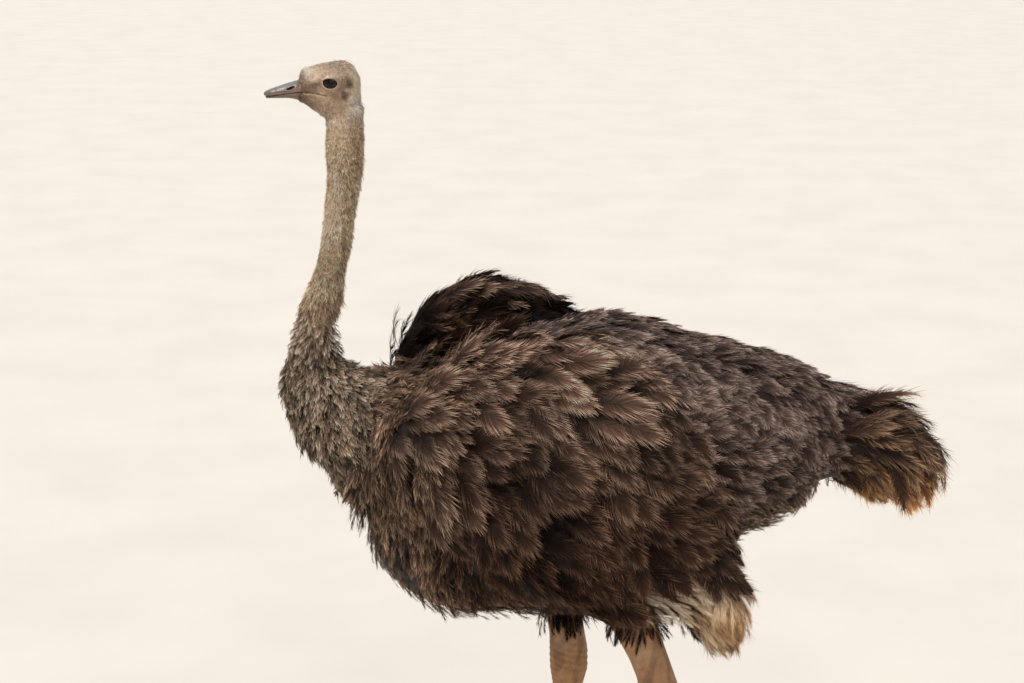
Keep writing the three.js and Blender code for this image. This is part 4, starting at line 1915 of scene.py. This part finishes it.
@dataclass
class Coat:
    """Grows each kind of plumage on the ground as joined meshes."""

    ground: Ground
    markings: Markings
    half_width: float
    proud: float = 0.018
    root_depth: float = 0.002

    WANDER_WAVE = 0.16
    RUFFLE_WAVE = 0.10
    TONE_WAVE = 0.11
    TONE_SWING = 0.14
    TONE_LIMITS = (-1.5, 2.0)
    LIFT_SPREAD = (0.55, 1.3)
    AHEAD = 0.35  # how much of the lie farther on the outer half takes

    def grow(self, growth: Growth) -> list[Piece]:
        """The pieces of one kind of plumage.

        Args:
            growth: The plumage.

        Returns:
            The finished pieces.
        """
        rng = np.random.default_rng(growth.seed)
        roots, normals = self.ground.rooted(growth, rng)
        count = len(roots)
        length = rng.uniform(*growth.length, count)
        if growth.stretch is not None:
            length = length * growth.stretch(roots)
        aim = flat_to(growth.lie(roots), normals)
        wander = growth.wander * ripple(roots, self.WANDER_WAVE, rng) + rng.normal(0, growth.scatter, count)
        aim = turned(aim, normals, np.radians(wander))
        lift = growth.lift * rng.uniform(*self.LIFT_SPREAD, count) * length / np.mean(growth.length)
        lift *= 1.0 + growth.ruffle * ripple(roots, self.RUFFLE_WAVE, rng)
        middle, middle_normal = self.ground.onto(roots + aim * length[:, None] * 0.5)
        lie_ahead = flat_to(growth.lie(middle), middle_normal)
        ahead = flat_to(mix(aim, lie_ahead, np.full(count, self.AHEAD)), middle_normal)
        tip, tip_normal = self.ground.onto(middle + ahead * length[:, None] * 0.5)
        free_middle = roots + aim * length[:, None] * 0.5 + normals * lift[:, None] * 0.6
        free_tip = roots + (aim * length[:, None]) + normals * lift[:, None]
        free_tip -= UP * (growth.droop * length)[:, None]
        free_middle -= UP * (0.25 * growth.droop * length)[:, None]
        middle = middle + middle_normal * (0.62 * lift)[:, None]
        tip = tip + tip_normal * lift[:, None]
        cling = np.full(count, growth.cling)
        middle = mix(free_middle, middle, cling)
        tip = mix(free_tip, tip, cling)
        base = roots - normals * self.root_depth
        end_normal = unit(mix(normals, tip_normal, cling))
        rolls = np.radians(rng.normal(0, growth.roll, count))
        variant = rng.integers(0, growth.variants, count)
        templates = [growth.make.template(rng) for _ in range(growth.variants)]
        tone = 1.0 + growth.shades.vary * rng.normal(0, 1.0, count).clip(*self.TONE_LIMITS)
        tone *= 1.0 + self.TONE_SWING * ripple(roots, self.TONE_WAVE, rng)
        # The marks carry painted shade and painted light as well as the plumage's own colours.
        tone = tone[:, None] * growth.marks(self.markings, roots)
        unwrap = self.unwrap(roots)
        order = np.argsort(roots[:, 1] + 0.6 * roots[:, 2], kind="stable")
        pieces = []
        for part, rows in enumerate(np.array_split(order, growth.parts)):
            name = f"coat_{growth.name}" + (f"_{part + 1}" if growth.parts > 1 else "")
            bundle = (base, middle, tip, normals, end_normal, rolls, length, tone, unwrap)
            pieces.append(self.piece(name, growth, templates, variant, rows, bundle))
        return pieces

    def unwrap(self, places: Array) -> Array:
        """Places on a flat unwrap of the skin: along the bird by height and length, and round it.

        Args:
            places: Places, one to a row.

        Returns:
            U and V, one to a row.
        """
        x, y, z = places.T
        neck = step(z, 1.20, 1.30)
        axis_y = np.interp(z, [0.55, 1.0, 1.2, 1.45, 1.66, 1.80], [0.0, 0.0, -0.60, -0.58, -0.56, -0.58])
        along = np.where(neck > 0.5, 0.55 + 0.40 * (z - 1.25) / 0.6, 0.05 + 0.45 * (y + 0.60) / 1.35)
        upright = np.arctan2(x, -(y - axis_y)) / (2 * math.pi)
        level = np.arctan2(x, z - 0.95) / (2 * math.pi)
        around = np.where(neck > 0.5, upright, level) * 0.92 + 0.5
        return np.stack([along, around], axis=1).clip(0.01, 0.99)

    def pressed(self, points: Array) -> Array:
        """Presses feathers that stand out too far at the sides back against the bird.

        Args:
            points: Places, one to a row.

        Returns:
            The new places.
        """
        wide = np.abs(points[..., :1])
        over = np.maximum(wide - self.half_width, 0.0)
        held = np.minimum(wide, self.half_width) + self.proud * np.tanh(over / self.proud)
        return np.concatenate([np.sign(points[..., :1]) * held, points[..., 1:]], axis=-1)

    def piece(
        self,
        name: str,
        growth: Growth,
        templates: list[Template],
        variant: Array,
        rows: Array,
        bundle: tuple[Array, ...],
    ) -> Piece:
        """One joined mesh of the feathers numbered in rows.

        Args:
            name: Name of the piece.
            growth: The plumage.
            templates: The feathers to choose from.
            variant: Which one each feather is.
            rows: Numbers of the feathers in this piece.
            bundle: Roots, curves, turns and tones of all feathers.

        Returns:
            The finished piece.
        """
        base, middle, tip, start_normal, end_normal, rolls, length, tone, unwrap = bundle
        all_points, all_faces, all_colours, all_maps, first = [], [], [], [], 0
        for number, shape in enumerate(templates):
            mine = rows[variant[rows] == number]
            if not len(mine):
                continue
            along = shape.points[:, 1][None, :, None]
            start, mid, end = base[mine][:, None], middle[mine][:, None], tip[mine][:, None]
            control = 2.0 * mid - 0.5 * (start + end)
            share = along.clip(0.0, 1.25)
            curve = (1 - share) ** 2 * start + 2 * share * (1 - share) * control + share**2 * end
            run = unit(2 * (1 - share) * (control - start) + 2 * share * (end - control))
            reached = share.clip(0, 1)
            face = unit(start_normal[mine][:, None] * (1 - reached) + end_normal[mine][:, None] * reached)
            side = unit(np.cross(run, face))
            out = np.cross(side, run)
            cos, sin = np.cos(rolls[mine])[:, None, None], np.sin(rolls[mine])[:, None, None]
            side, out = side * cos + out * sin, out * cos - side * sin
            size = length[mine][:, None, None]
            across, rise = shape.points[:, 0][None, :, None], shape.points[:, 2][None, :, None]
            points = self.pressed(curve + side * across * size + out * rise * size)
            reach = (shape.points[:, 1] * 0.55 + shape.reach * 0.5).clip(0, 1)
            colours = growth.shades.along(reach)[None] * shape.shade[None, :, None] * tone[mine][:, None]
            centred = np.stack([shape.points[:, 0], shape.points[:, 1] - 0.5], axis=1)
            maps = unwrap[mine][:, None] + centred[None] * TUFT_PATCH
            faces = shape.faces[None] + (first + np.arange(len(mine)) * len(shape.points))[:, None, None]
            all_points.append(points.reshape(-1, 3))
            all_faces.append(faces.reshape(-1, 3))
            all_colours.append(colours.reshape(-1, 3))
            all_maps.append(maps.reshape(-1, 2))
            first += len(mine) * len(shape.points)
        faces = np.concatenate(all_faces)
        piece = new_object(name, np.concatenate(all_points), faces)
        paint(piece, np.concatenate(all_colours))
        layer = piece.data.uv_layers.new(name=BAKE_MAP)
        layer.data.foreach_set("uv", np.concatenate(all_maps)[faces.ravel()].astype(np.float32).ravel())
        piece.data.materials.append(replace(growth.finish, name=name).make())
        hand_over(piece)
        if len(faces) > MAX_PIECE_TRIANGLES:
            LOG.warning("%s is over its share of triangles", name)
        return piece


# Dark feather bases: partly the feathers' own colour, partly painted shade for the gaps between overlapping
# feathers; the dark roots of the ruff and tail are the same.
DARK_ROOT_AND_SHADE = srgb(12, 8, 6)

WING_SHADES = Shades(DARK_ROOT_AND_SHADE, srgb(84, 63, 52), srgb(186, 156, 134), 0.32, 0.66, 0.90)
BACK_SHADES = Shades(DARK_ROOT_AND_SHADE, srgb(94, 74, 66), srgb(196, 173, 160), 0.28, 0.62, 0.80)
BREAST_SHADES = Shades(DARK_ROOT_AND_SHADE, srgb(94, 72, 58), srgb(190, 158, 131), 0.36, 0.62, 0.80)
VENT_SHADES = Shades(DARK_ROOT_AND_SHADE, srgb(88, 72, 62), srgb(206, 180, 150), 0.22)
RUFF_SHADES = Shades(srgb(18, 12, 9), srgb(118, 97, 80), srgb(224, 201, 174), 0.44)
NECK_SHADES = Shades(srgb(106, 78, 56), srgb(194, 155, 121), srgb(240, 207, 172), 0.34)
HEAD_SHADES = Shades(srgb(138, 112, 91), srgb(182, 154, 130), srgb(226, 206, 182), 0.24)
TAIL_SHADES = Shades(srgb(16, 10, 8), srgb(84, 60, 47), srgb(224, 180, 136), 0.42, 0.50)
PLUME_SHADES = Shades(srgb(150, 122, 96), srgb(222, 203, 178), srgb(246, 230, 206), 0.16)
THIGH_SHADES = Shades(DARK_ROOT_AND_SHADE, srgb(58, 42, 32), srgb(118, 90, 69))


def is_vent(places: Array, normals: Array) -> Array:
    """The underside of the rump."""
    return (places[:, 1] > 0.12) & ((places[:, 2] < 0.90) | (normals[:, 2] < -0.25))


def is_breast(places: Array, normals: Array) -> Array:
    """The front and the belly of the trunk."""
    front = (places[:, 1] < -0.36) | (places[:, 2] < 0.86) | (normals[:, 2] < -0.35)
    return front & ~is_vent(places, normals)


def is_back(places: Array, normals: Array) -> Array:
    """The rest of the trunk."""
    return ~is_breast(places, normals) & ~is_vent(places, normals)


def is_plume(places: Array, normals: Array) -> Array:
    """The hanging plumes, and the hind end of each wing that they hang from.

    Args:
        places: Places, one to a row.
        normals: The skin's normals at them.

    Returns:
        True where it grows.
    """
    inward = normals[:, 0] * np.sign(places[:, 0]) < 0.25
    hem = (places[:, 2] < 0.838) & (places[:, 1] > -0.020)
    hind = (places[:, 1] > 0.215) & (places[:, 2] < 0.90)
    return hem | hind | ((places[:, 1] > 0.16) & (places[:, 2] < 0.88) & inward)


def is_fringe(places: Array, normals: Array) -> Array:
    """The dark hem of the wing in front of the pale plumes, and a dark lock between them."""
    y, z = places[:, 1], places[:, 2]
    return (z < 0.745) & ((y < 0.055) | (np.abs(y - 0.160) < 0.020))


def plume_stretch(places: Array) -> Array:
    """Shorter plumes in front."""
    return 0.55 + 0.45 * step(places[:, 1], 0.13, 0.19)


def is_wing(places: Array, normals: Array) -> Array:
    """The rest of a wing."""
    return ~is_plume(places, normals)


def off_the_lids(places: Array, normals: Array) -> Array:
    """Everywhere but the bare rims round the eyes."""
    return Eye().opening(places[:, 1], places[:, 2]) > 0.0034


FOREHEAD_TUFT = Spot(-0.640, 1.804, 0.008, 0.012, 1.8)
CROWN_TUFT = Spot(-0.550, 1.828, 0.024, 0.012, 2.0)
CHEEK_TUFT = Spot(-0.530, 1.738, 0.016, 0.016, 1.4)
SHORT_FACE = Spot(-0.590, 1.775, 0.030, 0.020, 0.35)


def head_stretch(places: Array) -> Array:
    """Longer down on the forehead, the back of the crown and the hind edge of the cheek.

    Args:
        places: Places, one to a row.

    Returns:
        Factors on the length.
    """
    y, z = places[:, 1], places[:, 2]
    longer = 1.0 + FOREHEAD_TUFT.over(y, z) + CROWN_TUFT.over(y, z) + CHEEK_TUFT.over(y, z)
    return longer - SHORT_FACE.over(y, z) + 0.8 * step(z, 1.735, 1.705)


def ruff_stretch(places: Array) -> Array:
    """Short tufts at the top of the neck's base and long ones at its foot."""
    z = places[:, 2]
    return 1.0 - 0.25 * step(z, 1.22, 1.34) + 0.75 * step(z, 1.10, 0.98)


def is_neck(places: Array, normals: Array) -> Array:
    """The neck, and thinning out among the tufts at the top of its base."""
    ragged = 0.020 * ripple(places, 0.012, np.random.default_rng(14))
    return places[:, 2] + ragged > 1.285


def neck_stretch(places: Array) -> Array:
    """Longer down low on the neck, where it meets the tufts of the base, and shorter at the top."""
    return (1.0 + 1.1 * step(places[:, 2], 1.42, 1.33)) * (1.0 - 0.2 * step(places[:, 2], 1.66, 1.70))


def tail_stretch(places: Array) -> Array:
    """Shorter plumes under the tail."""
    return 1.0 - 0.38 * step(places[:, 2], 1.03, 0.93)


def breast_stretch(places: Array) -> Array:
    """Shorter strands under the belly and at the foot of the breast."""
    front = step(places[:, 1], -0.36, -0.46) * step(places[:, 2], 1.02, 0.92)
    return (1.0 - 0.35 * step(places[:, 2], 0.86, 0.72)) * (1.0 - 0.45 * front)


def is_shoulder(places: Array, normals: Array) -> Array:
    """A band from the top of the shoulder down the front edge of the wing.

    Args:
        places: Places, one to a row.
        normals: The skin's normals at them.

    Returns:
        True where it grows.
    """
    line_y = np.interp(places[:, 2], [0.92, 1.05, 1.15, 1.25, 1.32], [-0.50, -0.45, -0.41, -0.36, -0.30])
    far = (places[:, 0] < -0.13) & (places[:, 2] > 1.19)
    return (np.abs(places[:, 1] - line_y) < 0.085) & (places[:, 2] > 0.92) & (places[:, 2] < 1.34) & ~far


def lie_shoulder(places: Array) -> Array:
    """Shaggy tufts of the shoulder: back and up at the top of the wing, down at its front."""
    high = step(places[:, 2], 1.02, 1.16)
    return unit(np.stack([0 * high, 0.35 + 0.55 * high, -1.0 + 1.25 * high], axis=1))


def plumage() -> list[Growth]:
    """Every kind of plumage on the bird.

    Returns:
        The kinds, in the order in which they grow.
    """
    covert = Vane()
    scale = Vane(barbs=26, half=0.40, barb_width=0.018)
    shag = Vane(barbs=18, half=0.26, barb_width=0.017, angle_root=34.0, frizz=0.07, blade=0.0, shaft=0.72)
    plume = Vane(barbs=40, half=0.26, barb_width=0.0085, angle_root=44.0, frizz=0.08, shaft=0.74, blade=0.35)
    floss = Vane(barbs=44, half=0.30, barb_width=0.0065, angle_root=22.0, angle_tip=4.0, frizz=0.10,
                 blade=0.0)
    tuft = Vane(barbs=9, half=0.34, barb_width=0.036, angle_root=40.0, frizz=0.10, stem=0.010, blade=0.0,
                stations=2)
    down = Wisp(14)
    grown: list[Growth] = []

    def add(name: str, nodes: Sequence[str], lie: Callable[[Array], Array], make: Vane | Wisp,
            shades: Shades, spacing: float, length: tuple[float, float], lift: float, **rest: object) -> None:
        """Adds one kind of plumage."""
        grown.append(Growth(name, tuple(nodes), lie, make, shades, spacing, length, lift, **rest))

    for side, spacing, length, lift, rest in (
        (Side.LEFT, 0.0235, (0.090, 0.140), 0.026, {"wander": 30.0, "ruffle": 0.8, "seed": 101}),
        (Side.RIGHT, 0.0285, (0.100, 0.150), 0.020, {"wander": 26.0, "ruffle": 0.5, "seed": 102}),
    ):
        add(f"wing_{side}", (f"wing_{side}", f"plumes_{side}"), lie_from_shoulder, covert, WING_SHADES,
            spacing, length, lift, scatter=15.0, keep=is_wing, parts=2, **rest)
    add("back", ("trunk",), lie_back, scale, BACK_SHADES, 0.0215, (0.054, 0.080), 0.010,
        scatter=14.0, keep=is_back, seed=103, parts=2)
    add("breast", ("trunk",), lie_breast, shag, BREAST_SHADES, 0.0195, (0.075, 0.115), 0.024,
        cling=0.80, keep=is_breast, stretch=breast_stretch, seed=104, parts=2)
    add("vent", ("trunk",), lie_tail, shag, VENT_SHADES, 0.0205, (0.045, 0.075), 0.016,
        cling=0.70, scatter=18.0, keep=is_vent, seed=114)
    add("shoulder", ("trunk", "wing_left", "wing_right", "neck_base"), lie_shoulder, shag, BREAST_SHADES,
        0.0155, (0.060, 0.095), 0.028, scatter=18.0, wander=26.0, keep=is_shoulder, seed=113)
    add("neck_base", ("neck_base",), lie_neck_base, tuft, RUFF_SHADES, 0.0085, (0.024, 0.044), 0.014,
        cling=0.6, scatter=16.0, roll=24.0, marks=Markings.ruff, stretch=ruff_stretch, seed=105, slot="down")
    add("neck", ("neck_upper", "neck_middle", "neck_base"), lie_neck, down, NECK_SHADES,
        0.0042, (0.0080, 0.0130), 0.0044, cling=0.6, scatter=14.0, wander=10.0, marks=Markings.neck,
        keep=is_neck, seed=106, slot="down", stretch=neck_stretch)
    add("head", ("head",), lie_head, down, HEAD_SHADES, 0.0031, (0.0042, 0.0070), 0.0014,
        scatter=12.0, wander=12.0, marks=Markings.neck, keep=off_the_lids, seed=107, slot="down",
        stretch=head_stretch)
    add("tail", ("tail",), lie_tail, plume, TAIL_SHADES, 0.0230, (0.100, 0.170), 0.036,
        cling=0.6, droop=0.14, scatter=16.0, stretch=tail_stretch, seed=108)
    spacings = {Side.LEFT: 0.0150, Side.RIGHT: 0.0165}
    for seed, (side, spacing) in enumerate(spacings.items(), start=109):
        add(f"plumes_{side}", (f"plumes_{side}", f"wing_{side}"), lie_plume, floss, PLUME_SHADES,
            spacing, (0.070, 0.115), 0.026, cling=0.5, droop=0.12, marks=Markings.plume, keep=is_plume,
            stretch=plume_stretch, seed=seed, slot="pale_plume")
    for seed, (side, spacing) in enumerate(spacings.items(), start=115):
        add(f"fringe_{side}", (f"plumes_{side}",), lie_leg, shag, THIGH_SHADES, spacing, (0.050, 0.085),
            0.024, cling=0.5, scatter=18.0, keep=is_fringe, seed=seed)
    for seed, side, length in ((111, Side.LEFT, (0.038, 0.064)), (112, Side.RIGHT, (0.042, 0.070))):
        add(f"thigh_{side}", (f"thigh_{side}",), lie_leg, shag, THIGH_SHADES, 0.0130, length, 0.014,
            cling=0.6, seed=seed)
    return grown


# ---------------------------------------------------------------- studio
@dataclass
class Studio:
    """Camera, soft lights and a pale floor."""

    eye_point: tuple[float, float, float] = (4.10, -0.208, 2.20)
    pitch: float = math.radians(13.16)
    lens: float = 70.3
    sky: tuple[float, float, float, float] = (0.86, 0.87, 0.89, 1.0)
    sky_strength: float = 0.38
    floor_reach: float = 60.0

    def camera(self) -> None:
        """The camera, level from side to side, looking down at the bird's left side."""
        data = bpy.data.cameras.new("camera")
        data.lens = self.lens
        data.sensor_width = 36.0
        camera = bpy.data.objects.new("camera", data)
        camera.location = self.eye_point
        camera.rotation_euler = Euler((math.pi / 2 - self.pitch, 0.0, math.pi / 2))
        bpy.context.scene.collection.objects.link(camera)
        bpy.context.scene.camera = camera

    def light(
        self, name: str, place: Sequence[float], strength: float, softness: float, colour: Sequence[float]
    ) -> None:
        """A broad soft light from the direction of a place, even over the whole floor.

        Args:
            name: Name of the lamp.
            place: Where it shines from, towards the middle.
            strength: Its strength.
            softness: Width of the light in degrees.
            colour: Its colour.
        """
        data = bpy.data.lights.new(name, "SUN")
        data.energy = strength
        data.angle = math.radians(softness)
        data.color = colour
        lamp = bpy.data.objects.new(name, data)
        lamp.location = place
        lamp.rotation_euler = (-Vector(place)).to_track_quat("-Z", "Y").to_euler()
        bpy.context.scene.collection.objects.link(lamp)

    def build(self) -> None:
        """Everything that stands round the bird."""
        self.camera()
        self.light("key", (1.5, -1.9, 4.2), 3.1, 20.0, (1.0, 0.965, 0.92))
        self.light("side", (4.0, 1.2, 2.2), 0.55, 50.0, (1.0, 0.97, 0.94))
        self.light("rim", (-3.4, -0.8, 3.0), 0.7, 40.0, (0.96, 0.98, 1.0))
        world = bpy.data.worlds.new("studio")
        world.use_nodes = True
        background = world.node_tree.nodes["Background"]
        background.inputs["Color"].default_value = self.sky
        background.inputs["Strength"].default_value = self.sky_strength
        bpy.context.scene.world = world
        signs = np.array([[-1, -1, 0], [1, -1, 0], [1, 1, 0], [-1, 1, 0]])
        corners = signs * self.floor_reach
        floor = new_object("studio_floor", corners, np.array([[0, 1, 2, 3]]))
        floor.data.materials.append(FloorFinish().make())
        floor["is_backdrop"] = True
        bpy.context.scene.view_settings.view_transform = "Standard"


def main() -> None:
    """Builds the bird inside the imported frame."""
    logging.basicConfig(level=logging.INFO, format="%(message)s")
    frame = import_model()
    solid_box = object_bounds()
    nodes: Nodes = frame["nodes"]
    Studio().build()
    skin = Skin(nodes)
    skin_piece = skin.build()
    Bill(nodes, skin.mouth).build()
    Eyes(skin.eye).build()
    Claws(nodes).build()
    half_width = float(solid_box[1][0])
    coat = Coat(Ground(nodes, skin_piece), Markings(HeadMarkings(skin.eye, skin.mouth)), half_width)
    for growth in plumage():
        coat.grow(growth)


if __name__ == "__main__":
    main()
